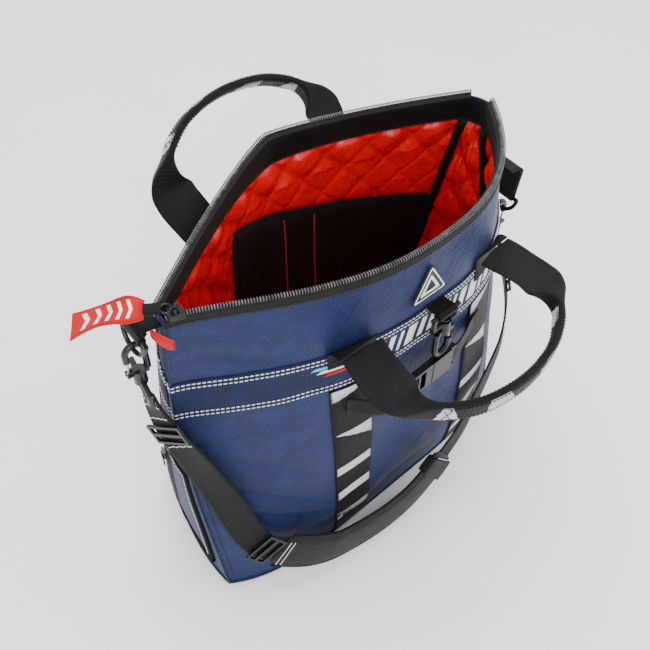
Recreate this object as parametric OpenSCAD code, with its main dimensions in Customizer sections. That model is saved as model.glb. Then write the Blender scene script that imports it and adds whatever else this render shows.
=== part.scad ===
/* [Bag] */
// Height of the bag up to its top edge
bag_h = 420; // [380:1:450]
// How far the front panel bellies out at the top edge
front_belly = 101; // [60:1:110]
// How far the back panel bellies out at the top edge
back_belly = 104; // [60:1:115]
// Thickness of the outer nylon panels
wall = 2.4; // [1.6:0.1:3]
// Thickness of the quilted lining
quilt = 3; // [2:0.1:5]

/* [Band] */
// Height of the lower edge of the reinforcing band
band_z = 283; // [270:1:300]
// Height of the band
band_h = 52; // [40:1:56]

/* [Webbing] */
// Width of the handle webbing
webbing_w = 50; // [40:1:50]
// Thickness of the handle webbing
webbing_t = 1.8; // [1.4:0.1:2.4]
// Distance between the two legs of a handle
leg_spacing = 192; // [180:1:200]
// Sideways place of the middle of the front handle
handle_x = 25; // [10:1:35]
// Sideways place of the middle of the back handle
back_handle_x = 13; // [0:1:30]

/* [Handles] */
// Reach of a handle from its sewn legs
handle_reach = 126; // [110:1:145]
// Thickness of the folded grip
grip_t = 9; // [6:0.5:12]
// Lift of the front handle above level
front_handle_lift = 7; // [0:1:20]
// Lift of the back handle above level
back_handle_lift = 45; // [20:1:60]

/* [Shoulder strap] */
// Width of the shoulder strap webbing
strap_w = 38; // [30:1:40]
// Width of the shoulder pad
pad_w = 60; // [50:1:64]
// Thickness of the shoulder pad
pad_t = 8; // [5:0.5:10]
// Radius of the ring wire's middle line in a strap ring
ring_r = 21; // [20:0.5:22]
// Thickness of the wire in a strap ring
ring_wire = 4.8; // [4:0.1:5.2]

/* [Hidden] */
$fn = 48;

navy = [0.15, 0.2, 0.38];
navy_dark = [0.1, 0.13, 0.26];
black = [0.06, 0.06, 0.07];
charcoal = [0.17, 0.17, 0.18];
red = [0.8, 0.05, 0.08];
steel = [0.7, 0.7, 0.72];

// Sides of the bag, counted anticlockwise from the front as seen from above
FRONT = 0;
RIGHT = 1;
BACK = 2;
LEFT = 3;

// Scale of the strap hooks and of the smaller hook on the patch, against a 58 mm hook
strap_hook_k = 1.2;
patch_hook_k = 1.2;
floor_t = 3;
board_t = 3;
gap = 0.5;
panel_u = 20;
gusset_u = 8;
panel_v = 12;

// ---- shape of the bag ----

function mix(a, b, t) = a + (b - a) * t;
function unit(v) = v / norm(v);
function height(z) = z / bag_h;

// The four upright corner seams at height share t, each [x, y]
function seam_fl(t) = [-234 + 16 * pow(t, 3), -70 + 56 * sin(90 * min(1, t / 0.8))];
function seam_fr(t) = [212 + 18 * pow(t, 2), -78 + 74 * pow(t, 1.5)];
function seam_br(t) = [205 + 20 * t, 100 - 78 * t];
function seam_bl(t) = [-186 - 28 * pow(t, 0.6), 109 - 104 * t];

// A belly across a panel: flat with round ends at the base, an arch at the top edge
function belly(s, skew, flat) = 1 - pow(abs(2 * pow(s, skew) - 1), flat);

function front_xy(s, t) =
    mix(seam_fl(t), seam_fr(t), s)
    - [0, mix(30, front_belly, pow(t, 0.7)) * belly(s, mix(1, 1.3, t), mix(5, 2.4, pow(t, 0.6)))];
function right_xy(s, t) = mix(seam_fr(t), seam_br(t), s) + [mix(12, 3, t) * belly(s, 1, 2.4), 0];
function back_xy(s, t) =
    mix(seam_br(t), seam_bl(t), s)
    + [0, mix(5, back_belly, t) * belly(s, mix(1, 0.97, t), mix(5, 1.25, pow(t, 0.6)))];
function left_xy(s, t) = mix(seam_bl(t), seam_fl(t), s) - [mix(12, 2, t) * belly(s, 1, 2.4), 0];

function side_xy(side, s, t) =
    side == FRONT ? front_xy(s, t)
    : side == RIGHT ? right_xy(s, t)
    : side == BACK ? back_xy(s, t)
    : left_xy(s, t);

// Outward level normal of one side, taken over a short stretch
step = 0.004;
function plain_normal(side, s, t) =
    let (a = side_xy(side, max(0, s - step), t), b = side_xy(side, min(1, s + step), t))
    unit([b[1] - a[1], a[0] - b[0]]);

// At a seam the two sides share one mitred normal, so their thicknesses meet face to face
function mitred(m, n) = (m + n) / (1 + m * n);
function normal_at(side, s, t) =
    s <= 0 ? mitred(plain_normal(side, 0, t), plain_normal((side + 3) % 4, 1, t))
    : s >= 1 ? mitred(plain_normal(side, 1, t), plain_normal((side + 1) % 4, 0, t))
    : plain_normal(side, s, t);

// A point on the bag, off millimetres outside its outer face
function skin(side, s, z, off) =
    let (t = height(z), p = side_xy(side, s, t) + off * normal_at(side, s, t))
    [p[0], p[1], z];

// Share of the front or back panel's width at a given x
function share_at(side, x, z) =
    let (t = height(z), a = side == FRONT ? seam_fl(t)[0] : seam_br(t)[0],
         b = side == FRONT ? seam_fr(t)[0] : seam_bl(t)[0])
    (x - a) / (b - a);

// ---- places worked out from the bag's shape ----

liner_in = wall + quilt;
facing_h = 30;
front_legs = [handle_x - leg_spacing / 2, handle_x + leg_spacing / 2];
back_legs = [back_handle_x - leg_spacing / 2, back_handle_x + leg_spacing / 2];
fold_z = band_z + band_h + 12;
function leg_skin(side, legs) = [for (x = legs) each [for (k = [-0.5, 0, 0.5])
    skin(side, share_at(side, x + k * webbing_w, fold_z), fold_z, gap)[1]]];
front_fold_y = min(leg_skin(FRONT, front_legs)) - 2.5;
back_fold_y = max(leg_skin(BACK, back_legs)) + 2.5;
buckle_at = [16, -131, 252];
patch_at = [28, -131, 338];
patch_mid_z = 374;
slider_s = 0.024;
slider_at = skin(FRONT, slider_s, bag_h, 0.3) + [0, 0, 14];
pull_turn = -38;
pull_bar_r = 1.2;
ring_left_at = [-238, 9, 402];
ring_right_at = [245, -32, 302];
swing_line = ring_right_at - ring_left_at;
swing_yaw = atan2(swing_line[1], swing_line[0]);
swing_pitch = -atan2(swing_line[2], norm([swing_line[0], swing_line[1]]));
mesh_z0 = 60;
mesh_s0 = 0.02;
mesh_s1 = 0.66;
mesh_swell = 10;
function mesh_top(q) = mix(262, 338, q);
bar_r = 2.4;
patch_bar_r = bar_r * patch_hook_k;
stem_r = 2.6;
pin_gap = 0.08;
hook_wire = 2.8;
hook_drop = 45;
// Strap hook's bar below its ring's wire, which sits in the top of the bow
hook_hang = (8 - hook_wire + hook_drop) * strap_hook_k - ring_wire / 2 - 0.4;
gate_pivot = [8, -24.2];
slider_low = skin(LEFT, 0.36, 52, gap + 6);
slider_high = skin(LEFT, 0.36, 160, gap + 6);
slider_up = unit(slider_high - slider_low);
slider_side = unit([for (k = [0:2]) (skin(LEFT, 0.4, 52, 0) - skin(LEFT, 0.32, 52, 0))[k]]);
slider_across = unit(slider_side - (slider_side * slider_up) * slider_up);
slider_out = cross(slider_across, slider_up);
slider_frame = [for (k = [0:2]) [slider_across[k], slider_up[k], slider_out[k], slider_high[k]]];

// Steps that crowd towards both ends, where the corners are round
function eased(i, n) = (1 - cos(180 * i / n)) / 2;

// Closed solid between two grids of points, grids[layer][column][row]; layer 0 is the outer one
module slab(outer, inner) {
    nu = len(outer) - 1;
    nv = len(outer[0]) - 1;
    cols = nv + 1;
    count = (nu + 1) * cols;
    points = concat([for (c = outer) for (p = c) p], [for (c = inner) for (p = c) p]);
    function at(layer, i, j) = layer * count + i * cols + j;
    faces = concat(
        [for (i = [0:nu - 1]) for (j = [0:nv - 1])
            each [[at(0, i, j), at(0, i, j + 1), at(0, i + 1, j + 1)],
                  [at(0, i, j), at(0, i + 1, j + 1), at(0, i + 1, j)],
                  [at(1, i, j), at(1, i + 1, j + 1), at(1, i, j + 1)],
                  [at(1, i, j), at(1, i + 1, j), at(1, i + 1, j + 1)]]],
        [for (i = [0:nu - 1])
            each [[at(0, i, 0), at(0, i + 1, 0), at(1, i + 1, 0)],
                  [at(0, i, 0), at(1, i + 1, 0), at(1, i, 0)],
                  [at(0, i, nv), at(1, i, nv), at(1, i + 1, nv)],
                  [at(0, i, nv), at(1, i + 1, nv), at(0, i + 1, nv)]]],
        [for (j = [0:nv - 1])
            each [[at(0, 0, j), at(1, 0, j), at(1, 0, j + 1)],
                  [at(0, 0, j), at(1, 0, j + 1), at(0, 0, j + 1)],
                  [at(0, nu, j), at(0, nu, j + 1), at(1, nu, j + 1)],
                  [at(0, nu, j), at(1, nu, j + 1), at(1, nu, j)]]]
    );
    polyhedron(points, faces);
}

// A whole side of the bag between two heights, from off_in to off_out outside the outer face
module side_panel(side, z0, z1, off_out, off_in, nv) {
    nu = side == FRONT || side == BACK ? panel_u : gusset_u;
    function grid(off) = [for (i = [0:nu]) [for (j = [0:nv])
        skin(side, eased(i, nu), mix(z0, z1, j / nv), off)]];
    slab(grid(off_out), grid(off_in));
}

// A strip sewn upright on the front or back, centred on x, w wide
module upright_strip(side, x, w, z0, z1, off_out, off_in, nu, nv) {
    turn = side == FRONT ? 1 : -1;
    function grid(off) = [for (i = [0:nu]) [for (j = [0:nv])
        let (z = mix(z0, z1, j / nv))
        skin(side, share_at(side, x + turn * w * (i / nu - 0.5), z), z, off)]];
    slab(grid(off_out), grid(off_in));
}

// A patch of one gusset between two shares of its width
module gusset_patch(side, s0, s1, z0, z1, off_out, off_in, nu, nv) {
    function grid(off) = [for (i = [0:nu]) [for (j = [0:nv])
        skin(side, mix(s0, s1, i / nu), mix(z0, z1, j / nv), off)]];
    slab(grid(off_out), grid(off_in));
}

// Level outline of the whole bag at one height
function outline(z, off) = concat(
    [for (i = [0:panel_u - 1]) skin(FRONT, eased(i, panel_u), z, off)],
    [for (i = [0:gusset_u - 1]) skin(RIGHT, eased(i, gusset_u), z, off)],
    [for (i = [0:panel_u - 1]) skin(BACK, eased(i, panel_u), z, off)],
    [for (i = [0:gusset_u - 1]) skin(LEFT, eased(i, gusset_u), z, off)]
);

module floor_plate(z, t, off) {
    translate([0, 0, z]) linear_extrude(t) offset(delta = off)
        polygon([for (p = outline(z, 0)) [p[0], p[1]]]);
}

// Places children on the bag: local X runs along the side, Y up the panel, Z outward
module on_skin(side, s, z, off) {
    a = skin(side, s - step, z, 0);
    b = skin(side, s + step, z, 0);
    u = unit(b - a);
    rise = skin(side, s, z + 10, 0) - skin(side, s, z - 10, 0);
    v = unit(rise - (rise * u) * u);
    n = cross(u, v);
    o = skin(side, s, z, 0) + off * n;
    multmatrix([[u[0], v[0], n[0], o[0]], [u[1], v[1], n[1], o[1]], [u[2], v[2], n[2], o[2]]])
        children();
}

// ---- smooth routes ----

// Catmull-Rom point at share f between points i and i + 1 of a list
function spline(p, i, f) =
    let (a = p[max(0, i - 1)], b = p[i], c = p[min(len(p) - 1, i + 1)], d = p[min(len(p) - 1, i + 2)])
    0.5 * (2 * b + (c - a) * f + (2 * a - 5 * b + 4 * c - d) * f * f
        + (3 * b - a - 3 * c + d) * pow(f, 3));
function along(p, u) = let (i = min(len(p) - 2, floor(u))) spline(p, i, u - i);
function heading(p, u) = unit(along(p, min(len(p) - 1, u + 0.05)) - along(p, max(0, u - 0.05)));

// Closed solid through a list of rings with equal numbers of points
module skin_rings(rings) {
    m = len(rings[0]);
    last = len(rings) - 1;
    faces = concat(
        [for (r = [0:last - 1]) for (k = [0:m - 1])
            let (a = r * m + k, b = r * m + (k + 1) % m)
            each [[a, b, b + m], [a, b + m, a + m]]],
        [[for (k = [m - 1:-1:0]) k]],
        [[for (k = [0:m - 1]) last * m + k]]
    );
    polyhedron([for (r = rings) each r], faces);
}

// ---- bag panels ----

module front_panel() { color(navy) side_panel(FRONT, floor_t, bag_h, 0, -wall, panel_v); }
module back_panel() { color(navy) side_panel(BACK, floor_t, bag_h, 0, -wall, panel_v); }
module left_gusset() { color(navy) side_panel(LEFT, floor_t, bag_h, 0, -wall, panel_v); }
module right_gusset() { color(navy) side_panel(RIGHT, floor_t, bag_h, 0, -wall, panel_v); }
module bottom_panel() { color(navy) floor_plate(0, floor_t, 0); }
module bottom_board() { color(charcoal) floor_plate(floor_t, board_t, -liner_in - 1); }

// ---- lining ----

module lining_wall(side) {
    color(red) side_panel(side, floor_t, bag_h - 2, -wall - 0.4, -liner_in + 0.3, panel_v);
}
module lining_floor() { color(red) floor_plate(floor_t + board_t, quilt, -liner_in - 1); }
module facing(side) {
    color(black) side_panel(side, bag_h - facing_h, bag_h, -liner_in - 0.3, -liner_in - 1.5, 2);
}

// Mesh pocket on the back lining: held at its sides and foot, standing off in the middle
module mesh_pocket() {
    nu = 12;
    nv = 6;
    function grid(extra) = [for (i = [0:nu]) [for (j = [0:nv])
        let (z = mix(mesh_z0, mesh_top(i / nu), j / nv), swell = sin(180 * i / nu) * min(1, 2 * j / nv))
        skin(BACK, mix(mesh_s0, mesh_s1, i / nu), z, -liner_in - 0.6 - mesh_swell * swell - extra)]];
    color(black) slab(grid(0), grid(1.2));
}
module mesh_pocket_binding() {
    nu = 12;
    function grid(extra) = [for (i = [0:nu]) [for (j = [0:1])
        let (z = mesh_top(i / nu) + 0.5 + 9 * j)
        skin(BACK, mix(mesh_s0, mesh_s1, i / nu), z, -liner_in - 0.6 - mesh_swell * sin(180 * i / nu) - extra)]];
    color(black) slab(grid(0), grid(1.6));
}

// ---- zip ----

module zip_tape(side) { color(charcoal) side_panel(side, bag_h - 1, bag_h + 4, 1.6, 0.4, 1); }
module zip_teeth(side) { color(steel) side_panel(side, bag_h + 4.2, bag_h + 7.2, 1.8, -1.2, 1); }

module at_slider() { translate(slider_at) rotate([0, 0, pull_turn]) children(); }
module zip_slider() {
    color(charcoal) {
        on_skin(FRONT, slider_s, bag_h, 0.3) difference() {
            translate([-7, 2.6, -5.5]) cube([14, 7.4, 11]);
            translate([-8, 3.4, -2.9]) cube([16, 4.8, 5.8]);
            translate([-8, 2, -1.8]) cube([16, 2, 3.6]);
        }
        at_slider() {
            for (y = [-4.4, 4.4]) translate([0, y, -2]) cube([2.6, 2.2, 6], center = true);
            rotate([90, 0, 0]) cylinder(h = 11, r = pull_bar_r, center = true);
        }
    }
}

// Eye on the slider's bar with a flat ring, a cord stub through the ring and the ribbon
module ring_wire(r) { translate([-8.2, 0, 0]) rotate_extrude($fn = 32) translate([5.2, 0]) circle(r, $fn = 16); }
module zip_pull_ring() {
    color(charcoal) at_slider() difference() {
        union() {
            ring_wire(1.1);
            rotate([90, 0, 0]) cylinder(h = 4, r = 2.4, center = true);
        }
        rotate([90, 0, 0]) cylinder(h = 6, r = pull_bar_r + pin_gap, center = true);
    }
}
module pull_tab() {
    color(black) at_slider() difference() {
        translate([-27, -5.5, -2.5]) cube([16.2, 11, 5]);
        ring_wire(1.4);
    }
}
module pull_ribbon() {
    points = [[-27.5, 0, 0], [-46, 0, -1], [-68, 0, -7], [-92, 0, -18]];
    color(red) at_slider() skin_rings([for (q = [0:9])
        let (p = along(points, q / 3), w = mix(10, 15, min(1, q / 4)))
        [p + [0, w, -1], p + [0, w, 1], p + [0, -w, 1], p + [0, -w, -1]]]);
}
module zip_end_tab() {
    color(red) translate([-227, -21, bag_h - 10]) rotate([0, 0, -76]) cube([26, 3, 14], center = true);
}

// ---- bands and webbing on the outside ----

module band(side) { color(navy_dark) side_panel(side, band_z, band_z + band_h, gap + 1.4, gap, 3); }

module front_webbing(x) {
    color(black) upright_strip(FRONT, x, webbing_w, 6, band_z - 1, gap + webbing_t, gap, 4, 10);
}
module back_webbings() {
    color(black) for (x = back_legs)
        upright_strip(BACK, x, webbing_w, 6, band_z - 1, gap + webbing_t, gap, 4, 10);
}

// Where a handle leg leaves the bag: from the panel out to the handle's fold line
module handle_anchor(side, x) {
    nu = 4;
    out = side == FRONT ? front_fold_y + 1.5 : back_fold_y - 1.5;
    turn = side == FRONT ? 1 : -1;
    function grid(flat) = [for (i = [0:nu]) [for (j = [0:1])
        let (z = fold_z - 4 + 8 * j, p = skin(side, share_at(side, x + turn * webbing_w * (i / nu - 0.5), z), z, gap))
        flat ? [p[0], out, z] : p]];
    slab(grid(true), grid(false));
}
module handle_anchors() {
    color(black) {
        for (x = front_legs) handle_anchor(FRONT, x);
        for (x = back_legs) handle_anchor(BACK, x);
    }
}

// Handle in its own frame: X across the bag, Y out from the fold line, Z up
handle_half = [[1, 0], [1.06, 0.21], [1.1, 0.42], [1.06, 0.61], [0.87, 0.79], [0.51, 0.94], [0, 1]];
function handle_point(p, side) = [side * p[0] * leg_spacing / 2, p[1] * handle_reach, 0];
handle_path = concat(
    [for (p = handle_half) handle_point(p, -1)],
    [for (i = [len(handle_half) - 2:-1:0]) handle_point(handle_half[i], 1)]
);
module handle() {
    steps = 3 * (len(handle_path) - 1);
    rings = [for (q = [0:steps])
        let (u = q / 3, p = along(handle_path, u), t = heading(handle_path, u),
             side = [-t[1], t[0], 0], fold = smooth_step((min(u, 12 - u) - 2.2) / 1.6),
             a = mix(webbing_w / 2, grip_t / 2, fold), b = mix(webbing_t / 2, webbing_w / 4, fold))
        [p - a * side - [0, 0, b], p + a * side - [0, 0, b], p + a * side + [0, 0, b], p - a * side + [0, 0, b]]];
    difference() {
        skin_rings([for (r = rings) [r[0], r[3], r[2], r[1]]]);
        translate([-leg_spacing, -40, -20]) cube([2 * leg_spacing, 40, 40]);
    }
}
function smooth_step(x) = let (y = max(0, min(1, x))) y * y * (3 - 2 * y);
module front_handle() {
    color(black) translate([handle_x, front_fold_y, fold_z]) rotate([-front_handle_lift, 0, 180]) handle();
}
module back_handle() {
    color(black) translate([back_handle_x, back_fold_y, fold_z]) rotate([back_handle_lift, 0, 0]) handle();
}

// ---- side pocket on the left gusset ----

module side_pocket() {
    color(navy) gusset_patch(LEFT, 0.12, 0.88, 24, 186, gap + 2, gap, 6, 6);
}
module side_pocket_zip() {
    color(black) gusset_patch(LEFT, 0.3, 0.42, 40, 172, gap + 3.6, gap + 2.4, 2, 6);
}
module side_pocket_slider() {
    color(charcoal) multmatrix(slider_frame) union() {
        cube([9, 13, 3], center = true);
        translate([0, 0, 2.2]) cube([3, 10, 2], center = true);
        translate([0, -14, 2]) cube([7, 18, 1.6], center = true);
    }
}

// ---- compression strap and its side-release buckle ----

strap_low = buckle_at[2] - 12.5;
module flat_strip(points) {
    skin_rings([for (p = points) [
        [p[0], p[1] + 0.8, strap_low], [p[0], p[1] - 0.8, strap_low],
        [p[0], p[1] - 0.8, strap_low + 25], [p[0], p[1] + 0.8, strap_low + 25]]]);
}
module compression_strap_left() {
    color(charcoal) flat_strip([for (p = [[-97, 27.2], [-91, 24.2], [-80, 10], [-71, 1], [-64, 0], [-31, 0]])
        [buckle_at[0] + p[0], buckle_at[1] + p[1]]]);
}
module compression_strap_right() {
    color(charcoal) flat_strip([for (p = [[33, 0], [45, 1], [62, 6], [80, 13], [96, 17.2]])
        [buckle_at[0] + p[0], buckle_at[1] + p[1]]]);
}
module buckle_female() {
    color(charcoal) translate(buckle_at) difference() {
        union() {
            translate([0, -4.5, -17]) cube([26, 9, 34]);
            translate([25.9, -4.5, -17]) cube([2.1, 9, 34]);
            for (z = [-17, 13.5]) translate([27.9, -3, z]) cube([8.1, 6, 3.5]);
            translate([30, -2.6, -14]) cube([3, 1.4, 28]);
            translate([30, 1.2, -14]) cube([3, 1.4, 28]);
        }
        translate([-1, -2.8, -13.8]) cube([25, 5.6, 27.6]);
        for (z = [-18, 12]) translate([8, -2.8, z]) cube([12, 5.6, 6]);
    }
}
module buckle_male() {
    color(charcoal) translate(buckle_at) difference() {
        union() {
            translate([-34, -4, -17]) cube([33.7, 8, 34]);
            translate([-0.4, -2.4, -2.5]) cube([20, 4.8, 5]);
            for (z = [-13.4, 9.9]) translate([-0.4, -2.4, z]) cube([18, 4.8, 3.5]);
        }
        translate([-40, -1.3, -13]) cube([37, 2.6, 26]);
        for (x = [-30, -19]) translate([x, -5, -13]) cube([8, 10, 26]);
    }
}

// ---- triangle patch, its loop and the swivel snap hook ----

module triangle_patch() {
    color(charcoal) on_skin(FRONT, share_at(FRONT, 20, patch_mid_z), patch_mid_z, 1.4)
        linear_extrude(2.2) polygon([[0, 25], [-25, -20], [25, -20]]);
}
module patch_loop() {
    color(black) translate(patch_at) difference() {
        union() {
            rotate([0, 90, 0]) cylinder(h = 25, r = patch_bar_r + 2, center = true);
            translate([0, 7.6, 3]) cube([24, 15.2, 2.8], center = true);
        }
        rotate([0, 90, 0]) cylinder(h = 26, r = patch_bar_r + pin_gap, center = true);
    }
}

// Frame that the webbing holds: bar along X at the origin, boss for the swivel below
module swivel_frame(inside_w, bored) {
    x = inside_w / 2 + 3;
    difference() {
        union() {
            rotate([0, 90, 0]) cylinder(h = 2 * x + 4.8, r = bar_r, center = true);
            for (side = [-x, x]) translate([side, 0, -12]) cylinder(h = 12, r = 2.4);
            translate([0, 0, -12]) rotate([0, 90, 0]) cylinder(h = 2 * x + 4.8, r = 2.4, center = true);
            translate([0, 0, -17]) cylinder(h = 8, r = 5.6);
        }
        if (bored) translate([0, 0, -20]) cylinder(h = 14, r = stem_r + pin_gap);
    }
}

// Plastic snap hook below the frame: stem, shank, back leg, bow and nose; gate on the +X side
module hook_body() {
    difference() {
        union() {
            translate([0, 0, -18]) cylinder(h = 12.5, r = stem_r);
            translate([0, 0, -8.6]) cylinder(h = 2.4, r = 4.2);
            translate([0, 0, -24]) cylinder(h = 6.6, r = 5.6);
            translate([-8, 0, -hook_drop]) cylinder(h = 23, r = hook_wire);
            translate([-8, -2.8, -24]) cube([8, 5.6, 5]);
            translate([0, -2.6, -26.5]) cube([10.6, 5.2, 5]);
            translate([8, 0, -hook_drop]) cylinder(h = 7, r = hook_wire);
            translate([0, 0, -hook_drop]) rotate([90, 0, 0]) rotate_extrude(angle = -180)
                translate([8, 0]) circle(hook_wire);
        }
        translate([5.6, -1.6, -30]) cube([8, 3.2, 8]);
    }
    translate([gate_pivot[0], -2.7, gate_pivot[1]]) rotate([-90, 0, 0]) cylinder(h = 5.4, r = 0.9);
}
module hook_gate() {
    difference() {
        union() {
            translate([gate_pivot[0], -1.3, gate_pivot[1]]) rotate([-90, 0, 0]) cylinder(h = 2.6, r = 1.9);
            translate([gate_pivot[0], 0, -37.4]) cylinder(h = 37.4 + gate_pivot[1] - 1, r = 1.1);
        }
        translate([gate_pivot[0], -3, gate_pivot[1]]) rotate([-90, 0, 0]) cylinder(h = 6, r = 0.9 + pin_gap);
    }
}

module at_patch() { translate(patch_at) scale(patch_hook_k) children(); }
module patch_swivel() { color(charcoal) at_patch() swivel_frame(26 / patch_hook_k, true); }
module patch_hook() { color(charcoal) at_patch() hook_body(); }
module patch_gate() { color(steel) at_patch() hook_gate(); }

// ---- strap rings on the gussets ----

// Places a ring's parts: X along the line through both rings, away is +1 on the right
module at_ring(at, away) {
    translate(at) rotate([0, swing_pitch, swing_yaw]) mirror([away > 0 ? 0 : 1, 0, 0]) children();
}
module d_ring(at, away) {
    color(charcoal) at_ring(at, away) {
        rotate([90, 0, 0]) cylinder(h = 2 * ring_r, r = bar_r, center = true);
        rotate([0, 90, 0]) rotate([0, 0, -90]) rotate_extrude(angle = 180)
            translate([ring_r, 0]) circle(ring_wire / 2);
    }
}
module ring_loop(at, away, rise, reach) {
    color(black) at_ring(at, away) difference() {
        union() {
            rotate([90, 0, 0]) cylinder(h = 30, r = 4.6, center = true);
            translate([-2, -15, 3]) cube([5, 30, rise - 3]);
            translate([3 - reach, -15, rise - 5]) cube([reach, 30, 5]);
        }
        rotate([90, 0, 0]) cylinder(h = 32, r = bar_r + pin_gap, center = true);
    }
}

// A strap hook hangs plumb under its ring with the bow up and its gate facing away from the bag
module hook_place(at, away) {
    at_ring(at, away) translate([0, 0, -ring_r]) rotate([0, -away * swing_pitch, 0])
        translate([0, 0, -hook_hang]) rotate([180, 0, 0]) scale(strap_hook_k) children();
}
module strap_hook(at, away, turn) {
    color(charcoal) hook_place(at, away) {
        rotate([0, 0, turn]) swivel_frame((strap_w + 2) / strap_hook_k, false);
        hook_body();
    }
}
module strap_gate(at, away) { color(steel) hook_place(at, away) hook_gate(); }

// ---- shoulder strap ----

// Middle line of the strap from the left hook round the front to the right hook
strap_route = [
    [-239, 8, 318], [-242, -4, 300], [-240, -20, 276], [-233, -36, 244], [-224, -50, 202],
    [-215, -66, 158], [-208, -82, 114], [-196, -98, 84], [-165, -118, 62], [-130, -132, 43],
    [-92, -139, 35], [-50, -145, 34], [-12, -147, 38], [20, -147, 52], [48, -146, 72],
    [80, -142, 88], [115, -132, 106], [150, -121, 122], [186, -107, 140], [214, -88, 162],
    [232, -68, 182], [242, -50, 200], [245, -37, 217]
];
pad_from = 7.4;
pad_to = 14;
strap_end = len(strap_route) - 1;

// Outward direction of the strap's face at a place on its route
function strap_out(p) = unit([p[0] / 52900, p[1] / 12100, 0]);
function strap_across(u) =
    let (p = along(strap_route, u), t = heading(strap_route, u)) unit(cross(strap_out(p), t));
module strap_sweep(from, to, per, w, t) {
    n = round((to - from) * per);
    rings = [for (q = [0:n])
        let (u = mix(from, to, q / n), p = along(strap_route, u), d = heading(strap_route, u),
             a = strap_across(u), b = cross(d, a))
        [p - a * w / 2 - b * t / 2, p - a * w / 2 + b * t / 2,
         p + a * w / 2 + b * t / 2, p + a * w / 2 - b * t / 2]];
    skin_rings(rings);
}
module on_strap(u) {
    p = along(strap_route, u);
    d = heading(strap_route, u);
    a = strap_across(u);
    b = cross(d, a);
    multmatrix([[d[0], a[0], b[0], p[0]], [d[1], a[1], b[1], p[1]], [d[2], a[2], b[2], p[2]]]) children();
}
module strap_webbing_left() { color(black) strap_sweep(0, pad_from - 0.02, 3, strap_w, 2.2); }
module strap_webbing_right() { color(black) strap_sweep(pad_to + 0.02, strap_end, 3, strap_w, 2.2); }
module shoulder_pad() { color(black) strap_sweep(pad_from, pad_to, 3, pad_w, pad_t); }
module pad_keeper() {
    color(black) on_strap(13.4) difference() {
        cube([24, pad_w + 7, pad_t + 6], center = true);
        cube([30, pad_w + 3, pad_t + 3], center = true);
    }
}

// A flat slider: frame with two windows and the bar between them
module adjuster() {
    difference() {
        cube([24, strap_w + 8, 3], center = true);
        for (x = [-5.5, 5.5]) translate([x, 0, 0]) cube([7, strap_w + 1, 5], center = true);
    }
}
module strap_adjusters() {
    color(charcoal) {
        for (u = [2, 7, strap_end - 2]) on_strap(u) translate([0, 0, 3.2]) adjuster();
    }
}

front_panel();
back_panel();
left_gusset();
right_gusset();
bottom_panel();
bottom_board();
lining_wall(FRONT);  // lining_front
lining_wall(BACK);  // lining_back
lining_wall(LEFT);  // lining_left
lining_wall(RIGHT);  // lining_right
lining_floor();
facing(FRONT);  // facing_front
facing(BACK);  // facing_back
zip_tape(FRONT);  // zip_tape_front
zip_tape(BACK);  // zip_tape_back
zip_teeth(FRONT);  // zip_teeth_front
zip_teeth(BACK);  // zip_teeth_back
zip_slider();
zip_pull_ring();
pull_tab();
pull_ribbon();
zip_end_tab();
band(FRONT);  // front_band
band(BACK);  // back_band
union() {  // side_bands
    band(LEFT);
    band(RIGHT);
}
front_webbing(front_legs[0]);  // front_webbing_left
front_webbing(front_legs[1]);  // front_webbing_right
back_webbings();
handle_anchors();
front_handle();
back_handle();
mesh_pocket();
mesh_pocket_binding();
side_pocket();
side_pocket_zip();
side_pocket_slider();
compression_strap_left();
compression_strap_right();
buckle_female();
buckle_male();
triangle_patch();
patch_loop();
patch_swivel();
patch_hook();
patch_gate();
ring_loop(ring_left_at, -1, 14, 23.4);  // ring_loop_left
ring_loop(ring_right_at, 1, 44, 24);  // ring_loop_right
d_ring(ring_left_at, -1);  // d_ring_left
d_ring(ring_right_at, 1);  // d_ring_right
strap_hook(ring_left_at, -1, 80);  // strap_hook_left
strap_gate(ring_left_at, -1);  // strap_gate_left
strap_hook(ring_right_at, 1, -65);  // strap_hook_right
strap_gate(ring_right_at, 1);  // strap_gate_right
strap_webbing_left();
strap_webbing_right();
strap_adjusters();
shoulder_pad();
pad_keeper();
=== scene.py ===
"""Looks of a soft flight bag, built round the fixed frame of its solids.

Every length inside the classes is in millimetres; meshes are made in metres.
"""

import logging
import math
from dataclasses import dataclass, field
from enum import Enum
from typing import Callable, ClassVar, Sequence

import bpy
from mathutils import Matrix, Vector, noise


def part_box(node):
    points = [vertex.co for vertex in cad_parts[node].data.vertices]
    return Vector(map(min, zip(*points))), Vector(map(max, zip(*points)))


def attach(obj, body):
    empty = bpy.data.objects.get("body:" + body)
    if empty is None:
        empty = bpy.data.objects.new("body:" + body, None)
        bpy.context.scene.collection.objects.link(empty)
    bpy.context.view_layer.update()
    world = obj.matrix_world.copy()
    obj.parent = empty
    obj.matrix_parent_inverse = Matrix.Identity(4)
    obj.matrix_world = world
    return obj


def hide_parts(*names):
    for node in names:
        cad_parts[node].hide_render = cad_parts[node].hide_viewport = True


LOG = logging.getLogger("flight_bag")
MM = 0.001
Point = tuple[float, float]
Rings = list[list[Vector]]

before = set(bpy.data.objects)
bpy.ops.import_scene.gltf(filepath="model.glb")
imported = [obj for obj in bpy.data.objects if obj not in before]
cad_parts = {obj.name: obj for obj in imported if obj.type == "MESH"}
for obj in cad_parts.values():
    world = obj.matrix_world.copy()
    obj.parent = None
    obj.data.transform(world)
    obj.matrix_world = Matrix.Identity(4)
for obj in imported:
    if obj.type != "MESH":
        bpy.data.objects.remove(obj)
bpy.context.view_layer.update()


class Side(Enum):
    """The four upright sides of the bag, anticlockwise from the front as seen from above."""

    FRONT = 0
    RIGHT = 1
    BACK = 2
    LEFT = 3


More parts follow.
